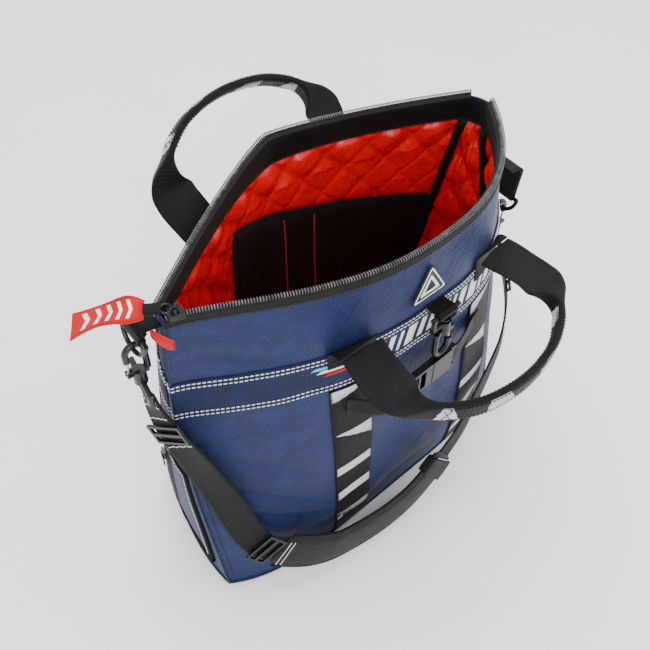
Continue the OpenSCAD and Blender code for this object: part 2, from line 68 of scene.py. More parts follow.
class Weave(Enum):
    """How a cloth's threads run."""

    TWILL = "twill"
    RIB = "rib"
    WEBBING = "webbing"
    SATIN = "satin"
    NET = "net"


def mix(a: float, b: float, t: float) -> float:
    """Value a share t of the way from a to b."""
    return a + (b - a) * t


def smooth_step(x: float) -> float:
    """Eased 0 to 1 step of x, clamped at both ends."""
    y = max(0.0, min(1.0, x))
    return y * y * (3.0 - 2.0 * y)


def linear(srgb: Sequence[float]) -> tuple[float, float, float, float]:
    """Scene-linear colour of an sRGB triple from 0 to 255.

    Args:
        srgb: Red, green and blue from 0 to 255.

    Returns:
        Red, green, blue and alpha 1, linear.
    """
    out = [((c / 255 + 0.055) / 1.055) ** 2.4 if c > 10 else c / 255 / 12.92 for c in srgb]
    return (out[0], out[1], out[2], 1.0)


# ---------------------------------------------------------------- finishes


class Nodes:
    """A material's node tree with short calls for adding and linking nodes."""

    def __init__(self, name: str) -> None:
        """Makes an empty material of that name."""
        self.material = bpy.data.materials.new(name)
        self.material.use_nodes = True
        self.tree = self.material.node_tree
        self.tree.nodes.clear()
        self.out = self.tree.nodes.new("ShaderNodeOutputMaterial")
        self.shader = self.tree.nodes.new("ShaderNodeBsdfPrincipled")
        self.link(self.shader, "BSDF", self.out, "Surface")

    def add(self, kind: str, **props: object) -> bpy.types.Node:
        """Adds a node.

        Args:
            kind: The node's type name after "ShaderNode".
            **props: Node properties, or input values where no such property exists.

        Returns:
            The node.
        """
        node = self.tree.nodes.new("ShaderNode" + kind)
        for key, value in props.items():
            if hasattr(node, key):
                setattr(node, key, value)
            else:
                node.inputs[key.replace("_", " ")].default_value = value
        return node

    def link(self, a: bpy.types.Node, out: str | int, b: bpy.types.Node, into: str | int) -> None:
        """Links one node's output to another's input."""
        self.tree.links.new(a.outputs[out], b.inputs[into])

    def math(self, operation: str, a: bpy.types.Node, b: bpy.types.Node | float, out_a: str | int = 0,
             out_b: str | int = 0) -> bpy.types.Node:
        """A Math node on the outputs of a and of b, or on a number b."""
        node = self.add("Math", operation=operation)
        self.tree.links.new(a.outputs[out_a], node.inputs[0])
        if isinstance(b, bpy.types.Node):
            self.tree.links.new(b.outputs[out_b], node.inputs[1])
        else:
            node.inputs[1].default_value = b
        return node

    def coords(self, surface: bool, turn: float = 0.0) -> bpy.types.Node:
        """Coordinates in metres, along the surface or through the solid, turned in plane by degrees."""
        source = self.add("TexCoord")
        place = self.add("Mapping")
        place.inputs["Rotation"].default_value = (0, 0, math.radians(turn))
        self.link(source, "UV" if surface else "Object", place, "Vector")
        return place

    def waves(self, place: bpy.types.Node, pitch_mm: float, direction: str = "X",
              wobble: float = 0.0) -> bpy.types.Node:
        """Parallel ridges of one pitch, across one direction."""
        node = self.add("TexWave", wave_type="BANDS", bands_direction=direction,
                        Scale=0.314 / (pitch_mm * MM), Distortion=wobble, Detail=1.0)
        self.link(place, 0, node, "Vector")
        return node

    def blotches(self, place: bpy.types.Node, size_mm: float, detail: float = 3.0) -> bpy.types.Node:
        """Soft random blotches of about one size."""
        node = self.add("TexNoise", Scale=1 / (size_mm * MM), Detail=detail, Roughness=0.6)
        self.link(place, 0, node, "Vector")
        return node

    def colours(self, drive: bpy.types.Node, dark: Sequence[float], light: Sequence[float], low: float = 0.3,
                high: float = 0.7, out: str | int = 0) -> bpy.types.Node:
        """A two-colour ramp driven by a node's output."""
        ramp = self.add("ValToRGB")
        ramp.color_ramp.elements[0].position = low
        ramp.color_ramp.elements[0].color = dark
        ramp.color_ramp.elements[1].position = high
        ramp.color_ramp.elements[1].color = light
        self.link(drive, out, ramp, 0)
        return ramp

    def relief(self, height: bpy.types.Node, depth_mm: float, strength: float = 1.0, out: str | int = 0,
               under: bpy.types.Node | None = None) -> bpy.types.Node:
        """A bump of that depth, on top of another where given."""
        bump = self.add("Bump", Distance=depth_mm * MM, Strength=strength)
        self.link(height, out, bump, "Height")
        if under is not None:
            self.link(under, 0, bump, "Normal")
        return bump


@dataclass(frozen=True)
class Cloth:
    """A woven finish.

    Attributes:
        name: Material name.
        dark: Colour in the hollows of the weave, sRGB: painted shade between the threads; for the net, the red
            lining seen through its holes.
        light: Colour on the threads, sRGB: painted light on the thread tops.
        weave: How the threads run.
        pitch: Spacing of the threads' ridges.
        rough: Roughness.
        sheen: Weight of the soft sheen at grazing angles.
        depth: Depth of the weave's relief.
        crumple: Depth of the small creases.
        surface: True to follow the piece's own surface coordinates.
        turn: Turn of the weave in degrees.
        gloss: Level of the plain reflection.
    """

    name: str
    dark: tuple[int, int, int]
    light: tuple[int, int, int]
    weave: Weave
    pitch: float = 1.5
    rough: float = 0.75
    sheen: float = 0.25
    depth: float = 0.25
    crumple: float = 1.0
    surface: bool = True
    turn: float = 0.0
    gloss: float = 0.14

    def build(self) -> bpy.types.Material:
        """Makes the material.

        Returns:
            The finished cloth material.
        """
        n = Nodes(self.name)
        place = n.coords(self.surface, self.turn)
        solid = n.coords(False)
        ridges = self._ridges(n, place)
        mottle = n.blotches(solid, 26.0)
        # Base colour = weave ridges (painted shade in the hollows, painted light on the thread tops) plus random
        # mottling of the cloth's own tone.
        both = n.math("ADD", n.math("MULTIPLY", ridges, 0.55), n.math("MULTIPLY", mottle, 0.5))
        ramp = n.colours(both, linear(self.dark), linear(self.light), 0.25, 0.8)
        n.link(ramp, 0, n.shader, "Base Color")
        wear = n.add("MapRange")
        wear.inputs["To Min"].default_value = self.rough - 0.09
        wear.inputs["To Max"].default_value = self.rough + 0.09
        n.link(mottle, 0, wear, 0)
        n.link(wear, 0, n.shader, "Roughness")
        creases = n.blotches(solid, 16.0, 2.0)
        under = n.relief(creases, self.crumple)
        bump = n.relief(ridges, self.depth, 0.9, under=under)
        n.link(bump, 0, n.shader, "Normal")
        n.shader.inputs["Sheen Weight"].default_value = self.sheen
        n.shader.inputs["Sheen Roughness"].default_value = 0.45
        n.shader.inputs["Specular IOR Level"].default_value = self.gloss
        return n.material

    def _ridges(self, n: Nodes, place: bpy.types.Node) -> bpy.types.Node:
        """The weave's height, 0 to 1."""
        if self.weave is Weave.TWILL:
            return n.waves(place, self.pitch, "DIAGONAL", 0.6)
        if self.weave is Weave.SATIN:
            return n.waves(place, self.pitch, "X", 2.5)
        across = n.waves(place, self.pitch, "X", 0.3)
        along = n.waves(place, self.pitch * (1.0 if self.weave is Weave.NET else 2.2), "Y", 0.3)
        if self.weave is Weave.RIB:
            return n.math("ADD", n.math("MULTIPLY", across, 0.8), n.math("MULTIPLY", along, 0.2))
        if self.weave is Weave.NET:
            return n.math("MULTIPLY", across, along)
        return n.math("ADD", n.math("MULTIPLY", across, 0.65), n.math("MULTIPLY", along, 0.35))


@dataclass(frozen=True)
class Moulded:
    """A moulded or metal finish.

    Attributes:
        name: Material name.
        dark: Deeper colour, sRGB.
        light: Lighter, rubbed colour, sRGB.
        rough: Roughness.
        metal: Metallic share.
        grain: Depth of the surface grain.
        coat: Weight of a clear gloss over it.
    """

    name: str
    dark: tuple[int, int, int]
    light: tuple[int, int, int]
    rough: float = 0.42
    metal: float = 0.0
    grain: float = 0.06
    coat: float = 0.0

    def build(self) -> bpy.types.Material:
        """Makes the material.

        Returns:
            The finished plastic, rubber or metal material.
        """
        n = Nodes(self.name)
        place = n.coords(False)
        mottle = n.blotches(place, 9.0)
        n.link(n.colours(mottle, linear(self.dark), linear(self.light)), 0, n.shader, "Base Color")
        wear = n.add("MapRange")
        wear.inputs["To Min"].default_value = self.rough - 0.08
        wear.inputs["To Max"].default_value = self.rough + 0.1
        n.link(n.blotches(place, 4.0), 0, wear, 0)
        n.link(wear, 0, n.shader, "Roughness")
        n.link(n.relief(n.blotches(place, 0.9), self.grain), 0, n.shader, "Normal")
        n.shader.inputs["Metallic"].default_value = self.metal
        n.shader.inputs["Specular IOR Level"].default_value = 0.3
        n.shader.inputs["Coat Weight"].default_value = self.coat
        return n.material


@dataclass
class Finishes:
    """Every finish of the bag, each made once."""

    panel: bpy.types.Material = field(init=False)
    gusset: bpy.types.Material = field(init=False)
    band: bpy.types.Material = field(init=False)
    satin: bpy.types.Material = field(init=False)
    tape: bpy.types.Material = field(init=False)
    coil: bpy.types.Material = field(init=False)
    webbing: bpy.types.Material = field(init=False)
    grosgrain: bpy.types.Material = field(init=False)
    net: bpy.types.Material = field(init=False)
    thread_white: bpy.types.Material = field(init=False)
    thread_black: bpy.types.Material = field(init=False)
    thread_red: bpy.types.Material = field(init=False)
    pale_weave: bpy.types.Material = field(init=False)
    ribbon: bpy.types.Material = field(init=False)
    accent_blue: bpy.types.Material = field(init=False)
    accent_white: bpy.types.Material = field(init=False)
    pad_cloth: bpy.types.Material = field(init=False)
    plastic: bpy.types.Material = field(init=False)
    grey_plastic: bpy.types.Material = field(init=False)
    wire: bpy.types.Material = field(init=False)
    dark_metal: bpy.types.Material = field(init=False)
    rubber_dark: bpy.types.Material = field(init=False)
    rubber_white: bpy.types.Material = field(init=False)
    board: bpy.types.Material = field(init=False)

    def __post_init__(self) -> None:
        """Makes all the materials."""
        rib, web = Weave.RIB, Weave.WEBBING
        self.panel = Cloth("navy_twill", (9, 15, 46), (34, 48, 98), Weave.TWILL, 1.6, 0.55, 0.05, 0.22, 1.8,
                           gloss=0.22).build()
        self.gusset = Cloth("navy_rib", (12, 17, 42), (42, 54, 94), rib, 2.4, 0.5, 0.08, 0.4, 1.8).build()
        self.band = Cloth("band_rib", (6, 10, 34), (26, 38, 78), rib, 2.0, 0.55, 0.05, 0.35, 1.0).build()
        self.satin = Cloth("red_satin", (150, 0, 8), (236, 6, 22), Weave.SATIN, 1.4, 0.34, 0.0, 0.06, 2.6,
                           gloss=0.42).build()
        self.tape = Cloth("zip_tape_weave", (12, 12, 13), (40, 40, 43), rib, 1.3, 0.75, 0.04, 0.25,
                          0.4).build()
        self.coil = Moulded("zip_coil_nylon", (40, 40, 43), (104, 104, 109), 0.3, 0.0, 0.03, 0.4).build()
        self.webbing = Cloth("black_webbing", (2, 2, 3), (21, 21, 23), web, 1.7, 0.55, 0.03, 0.5, 0.7).build()
        self.grosgrain = Cloth("black_grosgrain", (2, 2, 3), (19, 19, 21), rib, 1.2, 0.65, 0.03, 0.3,
                               0.5).build()
        self.net = Cloth("black_net", (16, 1, 2), (9, 8, 9), Weave.NET, 3.4, 0.7, 0.03, 0.5, 2.6).build()
        self.thread_white = Cloth("white_thread", (222, 222, 226), (252, 252, 253), rib, 0.6, 0.6, 0.2, 0.1,
                                  0.1, False).build()
        self.thread_black = Cloth("black_thread", (3, 3, 4), (24, 24, 26), rib, 0.6, 0.6, 0.2, 0.1, 0.1,
                                  False).build()
        self.thread_red = Cloth("red_thread", (110, 0, 5), (170, 4, 14), rib, 0.6, 0.55, 0.2, 0.1, 0.1,
                                False).build()
        self.pale_weave = Cloth("pale_grey_weave", (160, 156, 172), (222, 219, 230), web, 1.7, 0.65, 0.05,
                                0.35, 0.3).build()
        self.ribbon = Cloth("red_ribbon", (140, 0, 8), (214, 6, 22), rib, 1.1, 0.55, 0.05, 0.25, 0.8).build()
        self.accent_blue = Cloth("sky_accent", (62, 150, 190), (108, 196, 226), rib, 1.2, 0.6, 0.2, 0.2,
                                 0.2).build()
        self.accent_white = Cloth("white_accent", (214, 216, 222), (248, 248, 250), rib, 1.2, 0.6, 0.2, 0.2,
                                  0.2).build()
        self.pad_cloth = Cloth("pad_nylon", (3, 3, 4), (24, 24, 27), Weave.TWILL, 1.6, 0.55, 0.05, 0.25,
                               1.4).build()
        self.plastic = Moulded("black_plastic", (3, 3, 4), (17, 17, 19), 0.3, 0.0, 0.05, 0.0).build()
        self.grey_plastic = Moulded("grey_plastic", (14, 14, 16), (40, 40, 43), 0.28, 0.0, 0.05, 0.1).build()
        self.wire = Moulded("bright_wire", (150, 152, 156), (216, 218, 222), 0.24, 1.0, 0.02).build()
        self.dark_metal = Moulded("blackened_metal", (14, 14, 15), (48, 48, 51), 0.28, 0.8, 0.02, 0.2).build()
        self.rubber_dark = Moulded("dark_rubber", (12, 12, 14), (38, 38, 41), 0.55, 0.0, 0.08).build()
        self.rubber_white = Moulded("white_rubber", (214, 214, 218), (246, 246, 248), 0.5, 0.0, 0.05).build()
        self.board = Moulded("base_board", (24, 24, 26), (48, 48, 50), 0.6, 0.0, 0.1).build()


# ---------------------------------------------------------------- mesh making


def make_object(name: str, points: Sequence[Vector], faces: Sequence[Sequence[int]],
                corners: Sequence[Sequence[Point]] | None, materials: Sequence[bpy.types.Material],
                slots: Sequence[int] | None = None) -> bpy.types.Object:
    """Makes a smooth-shaded mesh object.

    Args:
        name: Object name.
        points: Vertices in metres.
        faces: Vertex numbers of each face.
        corners: For each face, its corners' surface coordinates in metres, or None.
        materials: Materials by slot.
        slots: For each face, its slot, or None for all 0.

    Returns:
        The object, linked to the scene.
    """
    mesh = bpy.data.meshes.new(name)
    mesh.from_pydata([tuple(p) for p in points], [], [list(f) for f in faces])
    if corners is not None:
        layer = mesh.uv_layers.new(name="surface")
        k = 0
        for face in corners:
            for pair in face:
                layer.data[k].uv = pair
                k += 1
    for material in materials:
        mesh.materials.append(material)
    if slots is not None:
        mesh.polygons.foreach_set("material_index", list(slots))
    mesh.polygons.foreach_set("use_smooth", [True] * len(mesh.polygons))
    mesh.update()
    obj = bpy.data.objects.new(name, mesh)
    bpy.context.scene.collection.objects.link(obj)
    return obj


def distances(points: Sequence[Vector]) -> list[float]:
    """Running length along a chain of points, from 0."""
    out = [0.0]
    for a, b in zip(points, points[1:]):
        out.append(out[-1] + (b - a).length)
    return out


def loft(name: str, rows: Rings, materials: Sequence[bpy.types.Material], closed: bool = False,
         caps: bool = False, slot_of: Callable[[int, int], int] | None = None,
         flip: bool = False) -> bpy.types.Object:
    """Skins rows of points.

    Args:
        name: Object name.
        rows: Rows with equal numbers of points, in metres.
        materials: Materials by slot.
        closed: True if each row's last point joins its first.
        caps: True to close both ends with a face.
        slot_of: Slot of the face at (row, column).
        flip: True to turn the faces over.

    Returns:
        The object, with surface coordinates in metres.
    """
    m, last = len(rows[0]), len(rows) - 1
    span = m if closed else m - 1
    widest = max(rows, key=lambda r: distances(r)[-1])
    u = distances(list(widest) + [widest[0]])
    v = distances([r[m // 4] for r in rows])
    faces: list[list[int]] = []
    corners: list[list[Point]] = []
    slots: list[int] = []
    for r in range(last):
        for k in range(span):
            q = (k + 1) % m
            face = [r * m + k, r * m + q, (r + 1) * m + q, (r + 1) * m + k]
            corner = [(u[k], v[r]), (u[k + 1], v[r]), (u[k + 1], v[r + 1]), (u[k], v[r + 1])]
            faces.append(face[::-1] if flip else face)
            corners.append(corner[::-1] if flip else corner)
            slots.append(slot_of(r, k) if slot_of else 0)
    if caps:
        for base, order in ((0, range(m - 1, -1, -1)), (last * m, range(m))):
            face = [base + k for k in order]
            face = face[::-1] if flip else face
            faces.append(face)
            corners.append([(u[i - base], 0.0) for i in face])
            slots.append(0)
    return make_object(name, [p for r in rows for p in r], faces, corners, materials, slots)


def thicken(obj: bpy.types.Object, depth: float, offset: float = -1.0) -> bpy.types.Object:
    """Gives an open sheet a thickness in millimetres with a Solidify modifier."""
    solid = obj.modifiers.new("thickness", "SOLIDIFY")
    solid.thickness = depth * MM
    solid.offset = offset
    return obj


def ribbon_section(width: float, depth: float, crown: float = 0.0) -> list[Point]:
    """Outline of a flat woven strip: across and up, in millimetres, anticlockwise.

    Args:
        width: Width of the strip.
        depth: Its thickness.
        crown: Extra height along the middle of both faces.

    Returns:
        The outline's points.
    """
    n = 6
    top = [(width * (0.5 - i / n) * 0.985, depth / 2 + crown * math.sin(math.pi * i / n))
           for i in range(n + 1)]
    low = [(-a, -b) for a, b in top]
    return [(width / 2, 0.0)] + top + [(-width / 2, 0.0)] + low


def stitches(name: str, seams: Sequence[Sequence[Vector]], material: bpy.types.Material, pitch: float = 4.6,
             length: float = 3.3, radius: float = 0.5) -> bpy.types.Object:
    """Separate sewn stitches along seams.

    Args:
        name: Object name.
        seams: Chains of points in metres.
        material: Thread material.
        pitch: From one stitch to the next.
        length: Length of a stitch.
        radius: Radius of the thread.

    Returns:
        One object with every stitch.
    """
    points: list[Vector] = []
    faces: list[list[int]] = []
    profile = ((0.0, 0.35), (0.18, 0.95), (0.82, 0.95), (1.0, 0.35))
    for seam in seams:
        run = distances(seam)
        count = max(1, int(run[-1] / (pitch * MM)))
        for i in range(count):
            mid = (i + 0.5) * run[-1] / count
            a = point_at(seam, run, mid - length * MM / 2)
            b = point_at(seam, run, mid + length * MM / 2)
            axis = b - a
            if axis.length < 1e-6:
                continue
            side = axis.orthogonal().normalized()
            up = axis.normalized().cross(side)
            base = len(points)
            for share, wide in profile:
                for k in range(6):
                    turn = math.tau * k / 6
                    reach = (side * math.cos(turn) + up * math.sin(turn)) * radius * wide * MM
                    points.append(a + axis * share + reach)
            for r in range(3):
                for k in range(6):
                    q = (k + 1) % 6
                    faces.append([base + r * 6 + k, base + r * 6 + q, base + r * 6 + 6 + q,
                                  base + r * 6 + 6 + k])
            faces.append([base + k for k in range(5, -1, -1)])
            faces.append([base + 18 + k for k in range(6)])
    return make_object(name, points, faces, None, [material])


def point_at(chain: Sequence[Vector], run: Sequence[float], far: float) -> Vector:
    """Point at a running length along a chain."""
    far = max(0.0, min(run[-1], far))
    for i in range(len(chain) - 1):
        if far <= run[i + 1] or i == len(chain) - 2:
            step = run[i + 1] - run[i]
            return chain[i].lerp(chain[i + 1], (far - run[i]) / step if step > 0 else 0.0)
    return chain[-1].copy()


def tube(name: str, path: Sequence[Vector], radius: float, material: bpy.types.Material, flat: float = 1.0,
         count: int = 8, closed: bool = False) -> bpy.types.Object:
    """A round or flattened cord along a path.

    Args:
        name: Object name.
        path: Points in metres.
        radius: Radius in millimetres.
        material: Its material.
        flat: Height of the section against its width.
        count: Points round the section.
        closed: True if the path joins its own start.

    Returns:
        The object.
    """
    rings: Rings = []
    n = len(path)
    for i, p in enumerate(path):
        ahead = path[(i + 1) % n] if closed else path[min(n - 1, i + 1)]
        behind = path[(i - 1) % n] if closed else path[max(0, i - 1)]
        t = (ahead - behind).normalized()
        side = t.cross(Vector((0, 0, 1)))
        side = side.normalized() if side.length > 0.1 else t.cross(Vector((0, 1, 0))).normalized()
        up = side.cross(t)
        rings.append([p + (side * math.cos(math.tau * k / count) + up * flat * math.sin(math.tau * k / count))
                      * radius * MM for k in range(count)])
    if closed:
        rings.append(rings[0])
    return loft(name, rings, [material], closed=True, caps=not closed, flip=True)


def spline(points: Sequence[Vector], u: float) -> Vector:
    """Catmull-Rom point at place u along a list of points."""
    i = min(len(points) - 2, int(math.floor(u)))
    f = u - i
    a, b = points[max(0, i - 1)], points[i]
    c, d = points[min(len(points) - 1, i + 1)], points[min(len(points) - 1, i + 2)]
    return 0.5 * (2 * b + (c - a) * f + (2 * a - 5 * b + 4 * c - d) * f * f + (3 * b - a - 3 * c + d) * f ** 3)


def heading(points: Sequence[Vector], u: float) -> Vector:
    """Direction along a list of points at place u."""
    ahead, behind = min(len(points) - 1, u + 0.05), max(0.0, u - 0.05)
    return (spline(points, ahead) - spline(points, behind)).normalized()


def outline_sheet(name: str, outline: Callable[[float], tuple[float, float]],
                  place: Callable[[float, float], Vector], rows: int, cols: int,
                  materials: Sequence[bpy.types.Material]) -> bpy.types.Object:
    """A flat shape laid on a surface.

    Args:
        name: Object name.
        outline: Left and right limits at a share of the height.
        place: Point in metres from (across, share of height).
        rows: Steps up.
        cols: Steps across.
        materials: Its materials.

    Returns:
        The object.
    """
    grid: Rings = []
    for r in range(rows + 1):
        low, high = outline(r / rows)
        grid.append([place(mix(low, high, k / cols), r / rows) for k in range(cols + 1)])
    return loft(name, grid, materials)


# ---------------------------------------------------------------- the bag's shape


@dataclass(frozen=True)
class BagShape:
    """The bag's standing shape: four seams joined by bellied sides.

    Attributes:
        tall: Height of the bag.
        front_belly: Belly of the front at the top edge.
        back_belly: Belly of the back at the top edge.
        band_z: Lower edge of the band.
        band_h: Height of the band.
    """

    tall: float = 420.0
    front_belly: float = 101.0
    back_belly: float = 104.0
    band_z: float = 283.0
    band_h: float = 52.0

    def seam(self, corner: int, t: float) -> Vector:
        """Corner seam at height share t; corners run front-left, front-right, back-right, back-left."""
        if corner == 0:
            return Vector((-234 + 16 * t ** 3, -70 + 56 * math.sin(math.pi / 2 * min(1.0, t / 0.8))))
        if corner == 1:
            return Vector((212 + 18 * t ** 2, -78 + 74 * t ** 1.5))
        if corner == 2:
            return Vector((205 + 20 * t, 100 - 78 * t))
        return Vector((-186 - 28 * t ** 0.6, 109 - 104 * t))

    @staticmethod
    def belly(s: float, skew: float, flat: float) -> float:
        """Belly across a side, 0 at its seams and 1 in the middle."""
        return 1 - abs(2 * s ** skew - 1) ** flat

    def level(self, side: Side, s: float, t: float) -> Vector:
        """Point of a side's outer face in plan, at width share s and height share t."""
        t = max(0.0, t)
        a, b = self.seam(side.value, t), self.seam((side.value + 1) % 4, t)
        p = a.lerp(b, s)
        if side is Side.FRONT:
            p.y -= mix(30, self.front_belly, t ** 0.7) * self.belly(s, mix(1, 1.3, t), mix(5, 2.4, t ** 0.6))
        elif side is Side.RIGHT:
            p.x += mix(12, 3, t) * self.belly(s, 1, 2.4)
        elif side is Side.BACK:
            p.y += mix(5, self.back_belly, t) * self.belly(s, mix(1, 0.97, t), mix(5, 1.25, t ** 0.6))
        else:
            p.x -= mix(12, 2, t) * self.belly(s, 1, 2.4)
        return p

    def plain_normal(self, side: Side, s: float, t: float) -> Vector:
        """Outward level normal of one side."""
        a, b = self.level(side, max(0.0, s - 0.004), t), self.level(side, min(1.0, s + 0.004), t)
        return Vector((b.y - a.y, a.x - b.x)).normalized()

    def normal(self, side: Side, s: float, t: float) -> Vector:
        """Outward level normal, mitred where two sides meet."""
        m = self.plain_normal(side, min(1.0, max(0.0, s)), t)
        if 0 < s < 1:
            return m
        other = Side((side.value + (3 if s <= 0 else 1)) % 4)
        n = self.plain_normal(other, 1.0 if s <= 0 else 0.0, t)
        return (m + n) / (1 + m.dot(n))

    def sag(self, side: Side, s: float, z: float) -> float:
        """Small outward swell or inward fold of the soft cloth, fading out at the seams and the edges."""
        t = z / self.tall
        edge = min(1.0, s / 0.1, (1 - s) / 0.1) * smooth_step(t / 0.05) * smooth_step((1.02 - t) / 0.08)
        if edge <= 0:
            return 0.0
        p = self.level(side, s, t)
        wave = noise.noise(Vector((p.x / 62, p.y / 62, z / 74 + side.value * 3.1)))
        fine = noise.noise(Vector((p.x / 21, p.y / 21, z / 33 + side.value * 5.7)))
        depth = 1.9 * wave + 0.6 * fine - 1.0
        if side is Side.FRONT:
            for x0, z0, x1, z1, wide, deep in (
                (-222, 176, -112, 92, 9, 5.0), (-214, 132, -96, 58, 8, 4.4), (-206, 86, -140, 34, 8, 4.0),
                (-200, 214, -122, 160, 10, 3.4), (-212, 372, -140, 346, 7, 3.0),
                (-214, 398, -168, 384, 5, 2.0),
                (150, 210, 205, 120, 12, 3.4), (120, 100, 190, 40, 10, 3.0), (-60, 30, 60, 44, 9, 2.4),
                (-30, 200, 20, 90, 14, 2.6), (60, 220, 40, 120, 12, 2.2), (-140, 60, -60, 24, 8, 3.0),
            ):
                depth -= self.fold(p.x, z, x0, z0, x1, z1, wide, deep)
        elif side is Side.BACK:
            for x0, z0, x1, z1, wide, deep in (
                (-170, 240, -90, 120, 12, 2.8), (40, 250, 160, 90, 14, 3.0), (-60, 90, 60, 50, 10, 2.0),
                (-150, 60, -90, 30, 8, 2.0),
            ):
                depth -= self.fold(p.x, z, x0, z0, x1, z1, wide, deep)
        else:
            depth -= 2.4 * math.sin(s * 19 + 1.3 * math.sin(z / 40)) ** 2 * (0.4 + 0.6 * t)
        return max(-6.5, min(1.2, depth)) * edge

    @staticmethod
    def fold(x: float, z: float, x0: float, z0: float, x1: float, z1: float, wide: float,
             deep: float) -> float:
        """Depth of one straight soft fold at (x, z)."""
        dx, dz = x1 - x0, z1 - z0
        far = max(0.0, min(1.0, ((x - x0) * dx + (z - z0) * dz) / (dx * dx + dz * dz)))
        off = math.hypot(x - x0 - far * dx, z - z0 - far * dz)
        fade = math.sin(math.pi * min(1.0, max(0.0, 0.08 + 0.84 * far)))
        return deep * math.exp(-((off / wide) ** 2)) * fade

    def skin(self, side: Side, s: float, z: float, off: float, soft: float = 1.0) -> Vector:
        """Point on the bag in metres, off millimetres outside its outer face.

        Args:
            side: Which side.
            s: Share of its width.
            z: Height.
            off: Distance outside the outer face.
            soft: Share of the soft sag that the point follows.

        Returns:
            The point in metres.
        """
        t = z / self.tall
        lift = off + (soft * self.sag(side, s, z) if soft else 0.0)
        p = self.level(side, s, t) + self.normal(side, s, t) * lift
        return Vector((p.x, p.y, z)) * MM

    def share(self, side: Side, x: float, z: float) -> float:
        """Share of a side's width at a given x."""
        t = z / self.tall
        a, b = self.seam(side.value, t).x, self.seam((side.value + 1) % 4, t).x
        return (x - a) / (b - a)

    def around(self, z: float, off: float, columns: Sequence[tuple[Side, float]],
               soft: float = 1.0) -> list[Vector]:
        """A level row of points round the whole bag."""
        return [self.skin(side, s, z, off, soft) for side, s in columns]

    @staticmethod
    def columns(wide: int, narrow: int) -> list[tuple[Side, float]]:
        """Places round the bag, crowding towards the seams.

        Args:
            wide: Steps across the front and the back.
            narrow: Steps across each gusset.

        Returns:
            Side and width share of each column.
        """
        out: list[tuple[Side, float]] = []
        for side, n in zip(Side, (wide, narrow, wide, narrow)):
            out += [(side, 0.6 * (1 - math.cos(math.pi * i / n)) / 2 + 0.4 * i / n) for i in range(n)]
        return out


SHAPE = BagShape()


@dataclass
class Station:
    """A flat place on one side: across, up and outward directions at a point.

    Attributes:
        side: Which side.
        x: Sideways place.
        z: Height.
        off: Distance outside the outer face.
    """

    side: Side
    x: float
    z: float
    off: float

    def matrix(self) -> Matrix:
        """Frame with X along the side, Y up it and Z outward, in metres."""
        s = SHAPE.share(self.side, self.x, self.z)
        span = SHAPE.skin(self.side, s + 0.004, self.z, 0, 0) - SHAPE.skin(self.side, s - 0.004, self.z, 0, 0)
        u = span.normalized()
        rise = SHAPE.skin(self.side, s, self.z + 10, 0, 0) - SHAPE.skin(self.side, s, self.z - 10, 0, 0)
        v = (rise - u * rise.dot(u)).normalized()
        n = u.cross(v)
        o = SHAPE.skin(self.side, s, self.z, 0, 0) + n * self.off * MM
        return Matrix(((u.x, v.x, n.x, o.x), (u.y, v.y, n.y, o.y), (u.z, v.z, n.z, o.z), (0, 0, 0, 1)))


# ---------------------------------------------------------------- shell and lining


@dataclass
class OuterShell:
    """The soft nylon shell: four sides and the bottom in one lofted skin, with piped corner seams.

    Attributes:
        finishes: The bag's finishes.
        wide: Steps across the front and back.
        narrow: Steps across a gusset.
        rows: Steps up.
        wall: Thickness of the cloth.
    """

    finishes: Finishes
    wide: int = 84
    narrow: int = 64
    rows: int = 120
    wall: float = 2.4

    def build(self) -> None:
        """Makes the shell, its seams and its base piping."""
        f = self.finishes
        columns = SHAPE.columns(self.wide, self.narrow)
        levels: list[tuple[float, float]] = [(0.0, -7.0), (0.0, -4.0), (0.6, -1.6), (2.2, -0.4)]
        levels += [(mix(4.5, 418.5, i / self.rows), 0.0) for i in range(self.rows + 1)]
        levels += [(419.6, -0.3), (420.0, -1.2), (419.6, -2.1), (417.0, -self.wall)]
        rows = [SHAPE.around(z, off, columns) for z, off in levels]
        sides = [side for side, _ in columns]
        shell = loft("outer_shell", rows, [f.panel, f.gusset], closed=True,
                     slot_of=lambda r, k: 0 if sides[k] in (Side.FRONT, Side.BACK) else 1)
        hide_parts("front_panel", "back_panel", "left_gusset", "right_gusset")
        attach(shell, "bag")
        base = self._base(columns)
        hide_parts("bottom_panel")
        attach(base, "bag")
        for i, side in enumerate(Side):
            chain = [SHAPE.skin(side, 0.0, mix(4, 281, j / 60), 0.6, 0) for j in range(61)]
            seam = tube(f"corner_seam_{i}", chain, 1.5, f.gusset)
            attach(seam, "bag")
            upper = tube(f"corner_seam_top_{i}", [SHAPE.skin(side, 0.0, mix(336, 417, j / 20), 0.5, 0)
                                                 for j in range(21)], 1.3, f.gusset)
            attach(upper, "bag")
        foot = tube("base_piping", SHAPE.around(3.4, 0.2, columns, 0), 2.0, f.band, closed=True)
        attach(foot, "bag")
        rows_of = [[SHAPE.skin(side, s, mix(8, 278, j / 54), 0.55) for j in range(55)]
                   for side, s in ((Side.FRONT, 0.014), (Side.FRONT, 0.986), (Side.BACK, 0.014),
                                   (Side.BACK, 0.986))]
        seam = stitches("corner_topstitch", rows_of, f.thread_black, 4.2, 3.0, 0.42)
        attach(seam, "bag")
        LOG.info("outer shell: %d faces", len(shell.data.polygons))

    def _base(self, columns: Sequence[tuple[Side, float]]) -> bpy.types.Object:
        """The bottom, rings of cloth drawn in to the middle."""
        edge = SHAPE.around(0.0, -6.5, columns, 0)
        mid = sum(edge, Vector()) / len(edge)
        rows = [[p.lerp(mid, share) + Vector((0, 0, 0.0006 * share)) for p in edge] for share in
                (0.0, 0.12, 0.3, 0.5, 0.7, 0.85, 0.97)]
        return loft("bottom_cloth", rows, [self.finishes.band], closed=True, flip=True)


